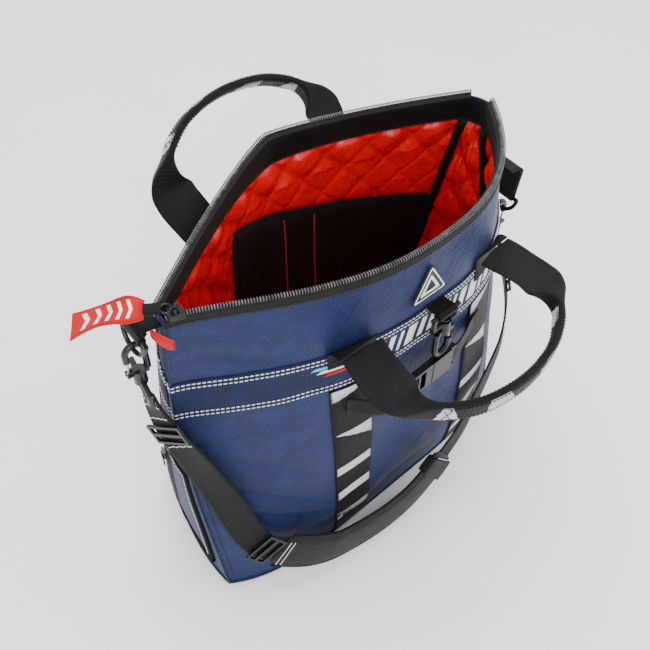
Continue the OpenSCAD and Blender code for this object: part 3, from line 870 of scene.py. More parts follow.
@dataclass
class QuiltedLining:
    """Red satin lining, quilted in diamonds, over all four inner walls and the floor.

    Attributes:
        finishes: The bag's finishes.
        diamond: Width of a quilting diamond.
        puff: How far a diamond swells.
        floor_z: Height of the floor's underside.
        low: Height of the walls' lower edge.
        high: Height of their upper edge.
        stretch: Height of a diamond against its width.
        pressed: Swell that is left behind the net pocket.
    """

    finishes: Finishes
    diamond: float = 50.0
    puff: float = 8.0
    floor_z: float = 7.0
    low: float = 8.0
    high: float = 394.0
    stretch: float = 1.15
    pressed: float = 3.6

    def _run(self, columns: Sequence[tuple[Side, float]]) -> list[float]:
        """Running length round the walls at each column, in millimetres."""
        return [1000 * d for d in distances(SHAPE.around(300, -4, columns, 0))]

    def swell(self, u: float, v: float) -> float:
        """Swell of the quilting at a place in millimetres along and up the wall."""
        tall = self.diamond * self.stretch
        a = abs(math.sin(math.pi * (u / self.diamond + v / tall)))
        b = abs(math.sin(math.pi * (u / self.diamond - v / tall)))
        rumple = 0.5 + 0.5 * noise.noise(Vector((u / 15, v / 15, 3.0)))
        pucker = noise.noise(Vector((u / 5.5, v / 5.5, 8.0))) * math.exp(-6 * a * b)
        return self.puff * (a * b) ** 0.6 * (0.7 + 0.6 * rumple) + 0.5 * rumple + 0.7 * pucker

    def build(self) -> None:
        """Makes the walls, the floor and the sewn diamond seams."""
        f = self.finishes
        columns = SHAPE.columns(220, 70)
        run = self._run(columns)
        rows: Rings = []
        for j in range(161):
            z = mix(self.low, self.high, j / 160)
            row = []
            for (side, s), u in zip(columns, run):
                tight = smooth_step((z - self.low) / 12) * smooth_step((self.high - z) / 10)
                behind = side is Side.BACK and s < 0.7 and 50 < z < 352
                puff = min(self.swell(u, z), self.pressed) if behind else self.swell(u, z)
                row.append(SHAPE.skin(side, s, z, -2.9 - puff * tight, 1.0))
            rows.append(row)
        wall = loft("lining_walls", rows, [f.satin], closed=True, flip=True)
        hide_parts("lining_front", "lining_back", "lining_left", "lining_right")
        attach(wall, "bag")
        edge = SHAPE.around(self.low, -4.5, columns, 0)
        mid = sum(edge, Vector()) / len(edge)
        floor_rows: Rings = []
        for i in range(31):
            share = 0.985 * i / 30
            row = []
            for p in edge:
                q = p.lerp(mid, share)
                q.z = (self.floor_z + self.swell(q.x * 1000, q.y * 1000) * smooth_step(share * 9)) * MM
                row.append(q)
            floor_rows.append(row)
        floor = loft("lining_floor_cloth", floor_rows, [f.satin], closed=True)
        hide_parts("lining_floor")
        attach(floor, "bag")
        seams = self._seams()
        thread = stitches("quilting_thread", seams, f.thread_red, 4.4, 3.2, 0.35)
        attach(thread, "bag")
        LOG.info("lining: %d faces", len(wall.data.polygons))

    def _seams(self) -> list[list[Vector]]:
        """Lines of the quilting seams across the front and back inner walls."""
        seams: list[list[Vector]] = []
        columns = SHAPE.columns(110, 44)
        run = self._run(columns)
        rise = self.diamond * self.stretch
        for side in (Side.FRONT, Side.BACK):
            picks = [(s, u) for (sd, s), u in zip(columns, run) if sd is side]
            for slope in (-1, 1):
                for k in range(-20, 40):
                    chain = []
                    for s, u in picks[::2]:
                        z = rise * (k - slope * u / self.diamond)
                        if 14 < z < 388 and 0.02 < s < 0.98:
                            chain.append(SHAPE.skin(side, s, z, -3.4, 1.0))
                    if len(chain) > 3:
                        seams.append(chain)
        return seams


@dataclass
class InnerDetails:
    """Black facing under the rim, corner bindings and the net pocket with its pen slots.

    Attributes:
        finishes: The bag's finishes.
        pocket_from: Share of the back's width where the pocket starts.
        pocket_to: Share where it ends.
        pocket_low: Height of its foot.
        pocket_swell: How far it stands off the lining.
    """

    finishes: Finishes
    pocket_from: float = 0.02
    pocket_to: float = 0.66
    pocket_low: float = 60.0
    pocket_swell: float = 10.0

    def pocket_top(self, q: float) -> float:
        """Height of the pocket's mouth at a share of its width."""
        return mix(262, 338, q)

    def on_pocket(self, q: float, j: float, extra: float) -> Vector:
        """A place on the net pocket, q across and j up, extra millimetres further in."""
        z = mix(self.pocket_low, self.pocket_top(q), j)
        swell = self.pocket_swell * math.sin(math.pi * q) * min(1.0, 2 * j)
        drape = 1.4 * noise.noise(Vector((q * 7, j * 4, 1.5)))
        return SHAPE.skin(Side.BACK, mix(self.pocket_from, self.pocket_to, q), z,
                          -8.4 - swell - drape - extra, 0)

    def build(self) -> None:
        """Makes all the inner details."""
        f = self.finishes
        columns = SHAPE.columns(90, 34)
        face_rows = [SHAPE.around(z, off, columns, 0.3) for z, off in (
            (389.5, -5.0), (390.0, -6.6), (394.0, -7.2), (404.0, -6.9), (414.0, -6.6), (418.6, -6.2),
            (420.6, -5.2))]
        facing = loft("rim_facing", face_rows, [f.grosgrain], closed=True, flip=True)
        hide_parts("facing_front", "facing_back")
        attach(facing, "bag")
        line = stitches("facing_stitch", [SHAPE.around(392.6, -7.2, columns, 0.3)], f.thread_black,
                        4.6, 3.2, 0.5)
        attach(line, "bag")
        for i, side in enumerate(Side):
            chain = [SHAPE.skin(side, 0.0, mix(14, 392, j / 50), -9.5, 0) for j in range(51)]
            binding = tube(f"inner_binding_{i}", chain, 5.2, f.grosgrain, 1.0, 12)
            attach(binding, "bag")
        grid = [[self.on_pocket(q / 40, j / 24, 0.0) for q in range(41)] for j in range(25)]
        net = loft("net_pocket", grid, [f.net], flip=True)
        thicken(net, 0.8, 1.0)
        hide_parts("mesh_pocket")
        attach(net, "bag")
        rings: Rings = []
        for q in range(61):
            share = q / 60
            low, high = self.on_pocket(share, 0.985, 0.0), self.on_pocket(share, 1.0, 0.0)
            up = (high - low).normalized()
            inward = Vector((0, 0, 0.3)) - high
            inward.z = 0
            inward.normalize()
            middle = high + up * 4.6 * MM
            rings.append([middle + (inward * b + up * a) * MM for a, b in ribbon_section(10.5, 2.0, 0.5)])
        binding = loft("net_pocket_edge", rings, [f.grosgrain], closed=True, caps=True)
        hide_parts("mesh_pocket_binding")
        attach(binding, "bag")
        for i, q in enumerate((0.56, 0.72, 0.84)):
            chain = [self.on_pocket(q, mix(0.35, 0.99, j / 30), 1.0) for j in range(31)]
            slot = tube(f"pen_slot_{i}", chain, 0.9, f.thread_red if i < 2 else f.grosgrain)
            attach(slot, "bag")
        for i, q in enumerate((0.0, 1.0)):
            chain = [self.on_pocket(q, j / 40, 0.6) for j in range(41)]
            edge = tube(f"net_pocket_side_{i}", chain, 2.6, f.grosgrain, 0.8)
            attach(edge, "bag")
        LOG.info("inner details: facing, bindings, net pocket")


# ---------------------------------------------------------------- rim and zip


@dataclass
class RimZip:
    """Zip tapes folded over the rim, their coil teeth and the tapes' stitching.

    Attributes:
        finishes: The bag's finishes.
        pitch: From one tooth of the coil to the next.
    """

    finishes: Finishes
    pitch: float = 2.7

    def build(self) -> None:
        """Makes the tapes, the coils and the tapes' stitches."""
        f = self.finishes
        profile = ((417.5, -5.2), (420.8, -5.6), (422.2, -4.2), (423.4, -1.4), (423.9, 0.6), (423.0, 1.7),
                   (419.0, 1.9), (411.5, 1.6), (411.0, 0.5))
        for word, side in (("front", Side.FRONT), ("back", Side.BACK)):
            shares = [i / 90 for i in range(91)]
            rows = [[SHAPE.skin(side, s, z, off, 0.4) for s in shares] for z, off in profile]
            tape = loft(f"{word}_tape", rows, [f.tape], flip=True)
            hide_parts(f"zip_tape_{word}")
            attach(tape, "bag")
            teeth = self._coil(f"{word}_coil", side)
            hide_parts(f"zip_teeth_{word}")
            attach(teeth, "bag")
            seam = stitches(f"{word}_tape_stitch", [[SHAPE.skin(side, s, 414.0, 2.0, 0.4) for s in shares]],
                            f.thread_black, 4.0, 2.8, 0.45)
            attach(seam, "bag")
        LOG.info("zip: tapes and coils")

    def _coil(self, name: str, side: Side) -> bpy.types.Object:
        """One side's coil: a rounded turn every pitch, standing across the rim."""
        chain = [SHAPE.skin(side, i / 240, 424.9, 0.3, 0.4) for i in range(241)]
        run = distances(chain)
        count = int(run[-1] / (self.pitch * MM))
        points: list[Vector] = []
        faces: list[list[int]] = []
        arc = ((-2.1, -0.7), (-2.5, 0.5), (-1.2, 1.5), (0.4, 1.8), (1.9, 1.3), (2.5, 0.2), (2.1, -0.9))
        for i in range(count):
            far = (i + 0.5) * run[-1] / count
            p = point_at(chain, run, far)
            along = (point_at(chain, run, far + 0.002) - point_at(chain, run, far - 0.002)).normalized()
            out = Vector((along.y, -along.x, 0)).normalized()
            base = len(points)
            for across, up in arc:
                middle = p + (out * across + Vector((0, 0, up))) * MM
                ray = Vector((out.x * across, out.y * across, up)).normalized()
                for k in range(5):
                    turn = math.tau * k / 5
                    points.append(middle + (ray * math.cos(turn) + along * math.sin(turn)) * 0.68 * MM)
            for r in range(len(arc) - 1):
                for k in range(5):
                    q = (k + 1) % 5
                    faces.append([base + r * 5 + k, base + r * 5 + q, base + r * 5 + 5 + q,
                                  base + r * 5 + 5 + k])
            faces.append([base + k for k in range(4, -1, -1)])
            faces.append([base + (len(arc) - 1) * 5 + k for k in range(5)])
        return make_object(name, points, faces, None, [self.finishes.coil])


@dataclass
class ZipPull:
    """Red ribbon pull, its cord stub and stitching, and the folded end tab by the slider.

    Attributes:
        finishes: The bag's finishes.
        bar: Middle of the slider's bar.
        turn: Turn of the pull about the upright, in degrees.
        tab_turn: Turn of the end tab about the upright, in degrees.
    """

    finishes: Finishes
    bar: Vector = field(default_factory=lambda: Vector((-207.366, -17.795, 434.0)))
    turn: float = -38.0
    tab_turn: float = -76.0

    def place(self, p: Sequence[float]) -> Vector:
        """A point of the pull's own frame, in metres."""
        return (self.bar + Matrix.Rotation(math.radians(self.turn), 3, "Z") @ Vector(p)) * MM

    def build(self) -> None:
        """Makes the ribbon with its stripes and stitches, the stub, and the end tab."""
        f = self.finishes
        route = [Vector(p) for p in ((-26.6, 0, 0.2), (-44, 0, 1.2), (-66, 1, -5), (-92, 0, -18))]
        count = 40

        def spot(u: float, across: float, lift: float) -> Vector:
            """A place on the ribbon: u along from 0 to 1, across in shares, lift off its middle."""
            p = spline(route, u * 3)
            half = mix(11.0, 14.6, smooth_step(u * 3))
            curl = 2.4 * math.sin(u * 7.0) * across + 1.5 * across * across * u
            return self.place((p.x, across * half, p.z + lift + curl))

        rings = [[spot(i / count, a, b) for a, b in
                  ((1, 0), (0.97, 0.8), (0.5, 0.9), (0, 0.9), (-0.5, 0.9), (-0.97, 0.8), (-1, 0),
                   (-0.97, -0.8), (-0.5, -0.9), (0, -0.9), (0.5, -0.9), (0.97, -0.8))] for i in range(count + 1)]
        ribbon = loft("ribbon_pull", rings, [f.ribbon], closed=True, caps=True)
        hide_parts("pull_ribbon")
        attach(ribbon, "zip_pull")
        for k, start in enumerate((0.2, 0.34, 0.48, 0.62, 0.76)):
            for lift in (1.1, -1.1):
                stripe = outline_sheet(
                    f"ribbon_chevron_{k}_{'top' if lift > 0 else 'low'}", lambda t: (-0.66, 0.66),
                    lambda a, t, start=start, lift=lift: spot(start + 0.05 * t + 0.07 * abs(a), a, lift),
                    2, 14, [f.accent_white])
                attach(stripe, "zip_pull")
        edge = stitches("ribbon_stitch", [[spot(i / 60, a, lift) for i in range(2, 59)] for a in (0.88, -0.88)
                                          for lift in (1.0, -1.0)], f.thread_red, 3.4, 2.4, 0.35)
        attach(edge, "zip_pull")
        tack = stitches("ribbon_tack", [[spot(u, mix(-0.7, 0.7, i / 12), 1.1) for i in range(13)]
                                        for u in (0.05, 0.1)], f.thread_red, 2.4, 1.9, 0.45)
        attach(tack, "zip_pull")
        self._stub()
        self._end_tab()
        LOG.info("zip pull: ribbon, stub and end tab")

    def _stub(self) -> None:
        """A rounded webbing stub folded over the ring."""
        rings: Rings = []
        for i in range(13):
            x = mix(-27.4, -12.6, i / 12)
            tight = math.sqrt(max(0.0, 1 - (max(0.0, i - 9) / 3.4) ** 2))
            rings.append([self.place((x, a, b)) for a, b in
                          [(p[0], p[1] * (0.55 + 0.45 * tight)) for p in ribbon_section(11.4, 4.2, 0.5)]])
        stub = loft("pull_stub", rings, [self.finishes.grosgrain], closed=True, caps=True)
        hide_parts("pull_tab")
        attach(stub, "zip_pull")

    def _end_tab(self) -> None:
        """A red tape folded in two at the corner under the slider."""
        low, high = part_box("zip_end_tab")
        mid = (Vector(low) + Vector(high)) / 2
        turn = Matrix.Rotation(math.radians(self.tab_turn), 3, "Z")
        along = turn @ Vector((1, 0, 0))
        out = turn @ Vector((0, -1, 0))
        rings: Rings = []
        for i in range(25):
            t = i / 24
            bow = math.sin(math.pi * t)
            centre = mid + along * (t - 0.5) * 26 * MM + out * 1.6 * bow * MM
            half = mix(7.6, 5.0, abs(2 * t - 1) ** 2)
            rings.append([centre + (out * (b * 1.5 + 0.35 * a * math.sin(5 * t))
                                    + Vector((0, 0, a * half))) * MM
                          for a, b in ((1, 0), (0.96, 0.8), (0, 1.1), (-0.96, 0.8), (-1, 0), (-0.96, -0.8),
                                       (0, -1.1), (0.96, -0.8))])
        tab = loft("end_tab_cloth", rings, [self.finishes.ribbon], closed=True, caps=True)
        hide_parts("zip_end_tab")
        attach(tab, "bag")


# ---------------------------------------------------------------- bands, webbing, handles


@dataclass
class Bands:
    """The band round the bag, with double rows of white stitches, a striped accent and plain slanted bars.

    Attributes:
        finishes: The bag's finishes.
    """

    finishes: Finishes

    def build(self) -> None:
        """Makes the band, its stitches and its trims."""
        f = self.finishes
        z0, z1 = SHAPE.band_z, SHAPE.band_z + SHAPE.band_h
        columns = SHAPE.columns(84, 30)
        profile = [(z0 + 0.4, 0.1), (z0, 1.2), (z0 + 1.2, 1.9)]
        profile += [(mix(z0 + 4, z1 - 4, i / 8), 1.9) for i in range(9)]
        profile += [(z1 - 1.2, 1.9), (z1, 1.2), (z1 - 0.4, 0.1)]
        band = loft("band_cloth", [SHAPE.around(z, off, columns) for z, off in profile], [f.band],
                    closed=True)
        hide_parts("front_band", "back_band", "side_bands")
        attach(band, "bag")
        heights = (z0 + 3.2, z0 + 8.2, z1 - 8.2, z1 - 3.2)
        ring = list(columns) + [columns[0]]
        sewn = stitches("band_stitches", [SHAPE.around(z, 2.3, ring) for z in heights], f.thread_white, 5.0,
                        3.7, 0.62)
        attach(sewn, "bag")
        self._stripes()
        self._bars()
        LOG.info("band: cloth, stitches, accent and bars")

    def _strip(self, name: str, x0: float, x1: float, z_low: float, z_high: float, lean: float,
               material: bpy.types.Material) -> None:
        """A thin sewn-on bar on the front band, leaning to the right as it rises."""

        def place(a: float, t: float) -> Vector:
            """A place on the bar."""
            z = mix(z_low, z_high, t)
            return SHAPE.skin(Side.FRONT, SHAPE.share(Side.FRONT, a + lean * t, z), z, 2.35)

        bar = outline_sheet(name, lambda t: (x0, x1), place, 4, max(3, int((x1 - x0) / 4)), [material])
        thicken(bar, 0.5)
        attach(bar, "bag")

    def _stripes(self) -> None:
        """The small accent of three slanted stripes."""
        f = self.finishes
        for i, material in enumerate((f.accent_blue, f.accent_white, f.ribbon)):
            low = 318.0 - 5.4 * i
            self._strip(f"accent_{i}", -112 + 5.5 * i, -72 + 2 * i, low, low + 3.8, 5.0, material)

    def _bars(self) -> None:
        """A row of plain slanted bars, where a bag of this kind carries its trim."""
        f = self.finishes
        x = -64.0
        for i, width in enumerate((7, 12, 7, 4, 12, 7, 14, 7, 4, 10, 14, 7, 12, 4, 7, 10)):
            self._strip(f"trim_bar_{i}", x, x + width, 296.5, 321.5, 7.0, f.accent_white)
            x += width + 6.5


@dataclass
class SewnWebbing:
    """The upright webbings on the front and back, with woven pale patches.

    Attributes:
        finishes: The bag's finishes.
        width: Width of the webbing.
        depth: Its thickness.
        gap: Distance off the panel.
    """

    finishes: Finishes
    width: float = 50.0
    depth: float = 1.8
    gap: float = 0.5

    def build(self) -> None:
        """Makes the four webbings."""
        spots = ((Side.FRONT, (-71.0, 121.0), "front_webbing_left", "front_webbing_right"),
                 (Side.BACK, (-83.0, 109.0), "back_webbings", "back_webbings"))
        for side, places, *nodes in spots:
            for i, x in enumerate(places):
                name = f"{side.name.lower()}_strap_{i}"
                rings = [[self.spot(side, x, a, z, b + self.depth / 2) for a, b in
                          ribbon_section(self.width, self.depth)]
                         for z in [mix(5, 282, j / 60) for j in range(61)]]
                strap = loft(name, rings, [self.finishes.webbing], closed=True, caps=True, flip=True)
                if side is Side.FRONT or i == 0:
                    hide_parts(nodes[i])
                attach(strap, "bag")
                self._patches(side, x, i)
                edges = [[self.spot(side, x, a, mix(8, 280, j / 50), self.depth + 0.2) for j in range(51)]
                         for a in (-22.6, 22.6)]
                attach(stitches(f"{name}_stitch", edges, self.finishes.thread_black, 4.0, 2.8, 0.4), "bag")
        LOG.info("webbing: four uprights")

    def spot(self, side: Side, x: float, a: float, z: float, lift: float) -> Vector:
        """A place on an upright: a across from its middle, z up, lift off the cloth."""
        turn = 1 if side is Side.FRONT else -1
        return SHAPE.skin(side, SHAPE.share(side, x + turn * a, z), z, self.gap + lift)

    def _patches(self, side: Side, x: float, i: int) -> None:
        """Pale woven patches of the two-tone weave, each with a stepped edge."""
        for k, (mid, tall, lean) in enumerate(((271, 17, 0), (196, 22, 0), (138, 15, 1), (88, 15, 1),
                                               (38, 15, 1))):
            def limits(t: float, lean: int = lean, k: int = k) -> tuple[float, float]:
                """Left and right limits of a patch, stepped like a weave."""
                step = 1.6 if int(t * 9) % 2 else 0.0
                if lean == 0:
                    return (-24 + step + (0 if k == 0 else 46 * (1 - t)),
                            24 - step - (40 * (1 - t) if k == 0 else 0))
                return (-24 + step, 24 - step)

            def place(a: float, t: float, mid: float = mid, tall: float = tall, lean: int = lean) -> Vector:
                """A place on a patch, slanting across the webbing."""
                return self.spot(side, x, a, mid + tall * (t - 0.5) + lean * 0.04 * a, self.depth + 0.12)

            patch = outline_sheet(f"{side.name.lower()}_patch_{i}_{k}", limits, place, 9, 10,
                                  [self.finishes.pale_weave])
            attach(patch, "bag")


@dataclass
class Handle:
    """A webbing handle: flat legs that fold into a narrow doubled grip.

    Attributes:
        finishes: The bag's finishes.
        side: Side that it hangs on.
        middle: Sideways place of its middle.
        fold_y: Place of its fold line.
        lift: Turn of the handle above level, in degrees.
        fold_z: Height of the fold line.
        spacing: Distance between its legs.
        reach: How far it reaches.
        grip: Thickness of the folded grip.
        fold_gap: From the fold line back to the end of each sewn tongue.
    """

    finishes: Finishes
    side: Side
    middle: float
    fold_y: float
    lift: float
    fold_z: float = 347.0
    spacing: float = 192.0
    reach: float = 126.0
    grip: float = 9.0
    fold_gap: float = 1.3

    def __post_init__(self) -> None:
        """Works out the handle's path in its own frame."""
        half = ((1, 0), (1.06, 0.21), (1.1, 0.42), (1.06, 0.61), (0.87, 0.79), (0.51, 0.94), (0, 1))
        left = [Vector((-a * self.spacing / 2, b * self.reach, 0)) for a, b in half]
        right = [Vector((-p.x, p.y, 0)) for p in left[-2::-1]]
        self.path = left + right
        tilt = -self.lift if self.side is Side.FRONT else self.lift
        turn = Matrix.Rotation(math.radians(tilt), 4, "X")
        spin = Matrix.Rotation(math.pi if self.side is Side.FRONT else 0.0, 4, "Z")
        self.frame = Matrix.Translation((self.middle, self.fold_y, self.fold_z)) @ spin @ turn

    def fold(self, u: float) -> float:
        """Share of folding at a place on the path: 0 flat, 1 doubled."""
        return smooth_step((min(u, 12 - u) - 2.2) / 1.6)

    def spot(self, u: float, across: float, up: float) -> Vector:
        """A place on the handle in metres.

        Args:
            u: Place along the path, 0 to 12.
            across: Offset in the handle's plane, outward, in millimetres.
            up: Offset across that plane.

        Returns:
            The point in the bag's frame.
        """
        p, t = spline(self.path, u), heading(self.path, u)
        out = Vector((-t.y, t.x, 0))
        q = p + out * across + Vector((0, 0, up))
        q.y = max(0.05, q.y)
        return (self.frame @ q) * MM

    def section(self, u: float) -> list[Point]:
        """Outline of the handle at u, flat webbing at the legs and a soft doubled fold at the grip."""
        f = self.fold(u)
        a, b = mix(25.0, self.grip / 2, f), mix(0.9, 12.5, f)
        ring = []
        for k in range(20):
            turn = math.tau * k / 20
            c, s = math.cos(turn), math.sin(turn)
            power = mix(0.3, 0.55, f)
            x = math.copysign(abs(c) ** power, c) * a
            y = math.copysign(abs(s) ** (0.5 if f < 0.5 else 0.55), s) * b
            waist = 1 - 0.16 * f * math.exp(-((y / 3.2) ** 2))
            ring.append((x * waist,
                         y + 1.6 * math.sin(u * 2.1 + x * 0.05) * (1 - f) * smooth_step(min(u, 12 - u))))
        return ring

    def build(self) -> None:
        """Makes the handle with its tongues, stitching and pale patches."""
        f = self.finishes
        word = self.side.name.lower()
        body = f"{word}_handle"
        rings = [[self.spot(12 * i / 150, a, b) for a, b in self.section(12 * i / 150)] for i in range(151)]
        strap = loft(f"{word}_handle_webbing", rings, [f.webbing], closed=True, caps=True, flip=True)
        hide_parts(body)
        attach(strap, body)
        seams = []
        for up in (8.6, -8.6):
            for out in (1, -1):
                seams.append([self.spot(u, out * (self.grip / 2 + 0.1), up) for u in
                              [mix(4.0, 8.0, i / 60) for i in range(61)]])
        for out in (21.5, -21.5):
            for span in ((0.3, 2.1), (9.9, 11.7)):
                seams.append([self.spot(mix(*span, i / 20), out, 1.25) for i in range(21)])
        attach(stitches(f"{word}_handle_stitch", seams, f.thread_black, 4.2, 3.0, 0.45), body)
        self._patches(word, body)
        self._tongues(word)
        LOG.info("%s handle", word)

    def _patches(self, word: str, body: str) -> None:
        """Pale woven patches round the grip, each with a stepped edge, and a cross of black thread."""
        for k, u0 in enumerate((4.0, 5.35, 6.65, 8.0)):
            for out in (1, -1):
                def limits(t: float, k: int = k) -> tuple[float, float]:
                    """Ends of a patch along the grip, stepped."""
                    step = 0.035 if int(t * 9) % 2 else 0.0
                    return (-0.36 + step + 0.2 * t, 0.36 - step - 0.2 * (k % 2) * t)

                def place(a: float, t: float, out: int = out, u0: float = u0) -> Vector:
                    """A place on the patch."""
                    up = mix(-10.6, 10.6, t)
                    return self.spot(u0 + a, out * (self.surface(u0 + a, up) + 0.25), up)

                patch = outline_sheet(f"{word}_grip_patch_{k}_{'out' if out > 0 else 'in'}", limits, place,
                                      9, 8, [self.finishes.pale_weave])
                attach(patch, body)
        crosses = []
        for u0 in (4.0, 8.0):
            for slope in (1, -1):
                crosses.append([self.spot(u0 + mix(-0.12, 0.12, i / 8), self.surface(u0, 0) + 1.1,
                                          slope * mix(-8, 8, i / 8)) for i in range(9)])
        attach(stitches(f"{word}_cross_stitch", crosses, self.finishes.thread_black, 3.2, 2.8, 0.55), body)

    def surface(self, u: float, up: float) -> float:
        """Half thickness of the handle at u and a height up its side."""
        ring = [p for p in self.section(u) if p[0] > 0]
        return min(ring, key=lambda p: abs(p[1] - up))[0]

    def _tongues(self, word: str) -> None:
        """The sewn ends that come out from under the band and run to the fold line."""
        f = self.finishes
        turn = 1 if self.side is Side.FRONT else -1
        for i, x in enumerate((self.middle - self.spacing / 2, self.middle + self.spacing / 2)):
            rings: Rings = []
            for j in range(15):
                t = j / 14
                row = []
                for a, b in ribbon_section(50, 1.8):
                    z = mix(318, self.fold_z + 0.4, smooth_step(t * 1.25))
                    p = SHAPE.skin(self.side, SHAPE.share(self.side, x + turn * a, z), z, 3.2 + b * (1 - t),
                                   0.6)
                    out = smooth_step((t - 0.45) / 0.55)
                    p.y = mix(p.y, (self.fold_y + turn * self.fold_gap) * MM, out)
                    p.z += b * t * 0.6 * MM
                    row.append(p)
                rings.append(row)
            tongue = loft(f"{word}_tongue_{i}", rings, [f.webbing], closed=True, caps=True, flip=turn > 0)
            if self.side is Side.FRONT and i == 0:
                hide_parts("handle_anchors")
            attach(tongue, "bag")
            lines = [[SHAPE.skin(self.side, SHAPE.share(self.side, x + turn * mix(-22, 22, k / 16), z), z,
                                 4.6, 0.6)
                      for k in range(17)] for z in (321.5, 326.5)]
            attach(stitches(f"{word}_tongue_tack_{i}", lines, f.thread_black, 3.0, 2.3, 0.5), "bag")


# ---------------------------------------------------------------- pocket, strap and fittings


@dataclass
class SidePocket:
    """Zipped pocket on the left gusset, bound in black with white stitches.

    Attributes:
        finishes: The bag's finishes.
        low: Height of its foot.
        high: Height of its top.
    """

    finishes: Finishes
    low: float = 24.0
    high: float = 186.0

    def spot(self, s: float, z: float, lift: float) -> Vector:
        """A place on the pocket's face."""
        return SHAPE.skin(Side.LEFT, s, z, 0.5 + lift, 0.3)

    def build(self) -> None:
        """Makes the pocket's cloth, binding, zip strip and stitches."""
        f = self.finishes

        def puff(q: float, j: float) -> float:
            """Swell of the pocket's cloth."""
            plump = 2.0 * min(1.0, 8 * q, 8 * (1 - q)) * min(1.0, 8 * j, 8 * (1 - j))
            return plump + 0.5 * math.sin(j * 14) * q * (1 - q)

        rows = [[self.spot(mix(0.12, 0.88, q / 30), mix(self.low, self.high, j / 40), puff(q / 30, j / 40))
                 for q in range(31)] for j in range(41)]
        cloth = loft("pocket_cloth", rows, [f.panel])
        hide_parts("side_pocket")
        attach(cloth, "bag")
        corners = [(0.12, self.high), (0.88, self.high), (0.88, self.low), (0.12, self.low),
                   (0.12, self.high)]
        frame_line = [self.spot(mix(s0, s1, i / 30), mix(z0, z1, i / 30), 0.8)
                      for (s0, z0), (s1, z1) in zip(corners, corners[1:]) for i in range(30)]
        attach(tube("pocket_binding", frame_line, 2.4, f.grosgrain, closed=True), "bag")
        inner = [self.spot(mix(0.16, 0.84, i / 30), self.high - 6, 2.5) for i in range(31)]
        inner += [self.spot(0.84, mix(self.high - 6, self.low + 6, i / 30), 2.5) for i in range(1, 31)]
        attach(stitches("pocket_stitch", [inner], f.thread_white, 4.6, 3.4, 0.5), "bag")
        strip = [[self.spot(mix(0.3, 0.42, q / 4), mix(40, 172, j / 40),
                            2.4 + 1.1 * math.sin(math.pi * q / 4))
                  for q in range(5)] for j in range(41)]
        zip_strip = loft("pocket_zip", strip, [f.tape])
        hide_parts("side_pocket_zip")
        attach(zip_strip, "bag")
        teeth = [[self.spot(0.345, mix(42, 158, j / 58), 3.9), self.spot(0.375, mix(42, 158, j / 58), 3.9)]
                 for j in range(59)]
        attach(stitches("pocket_teeth", teeth, f.coil, 40, 3.0, 0.5), "bag")
        LOG.info("side pocket")


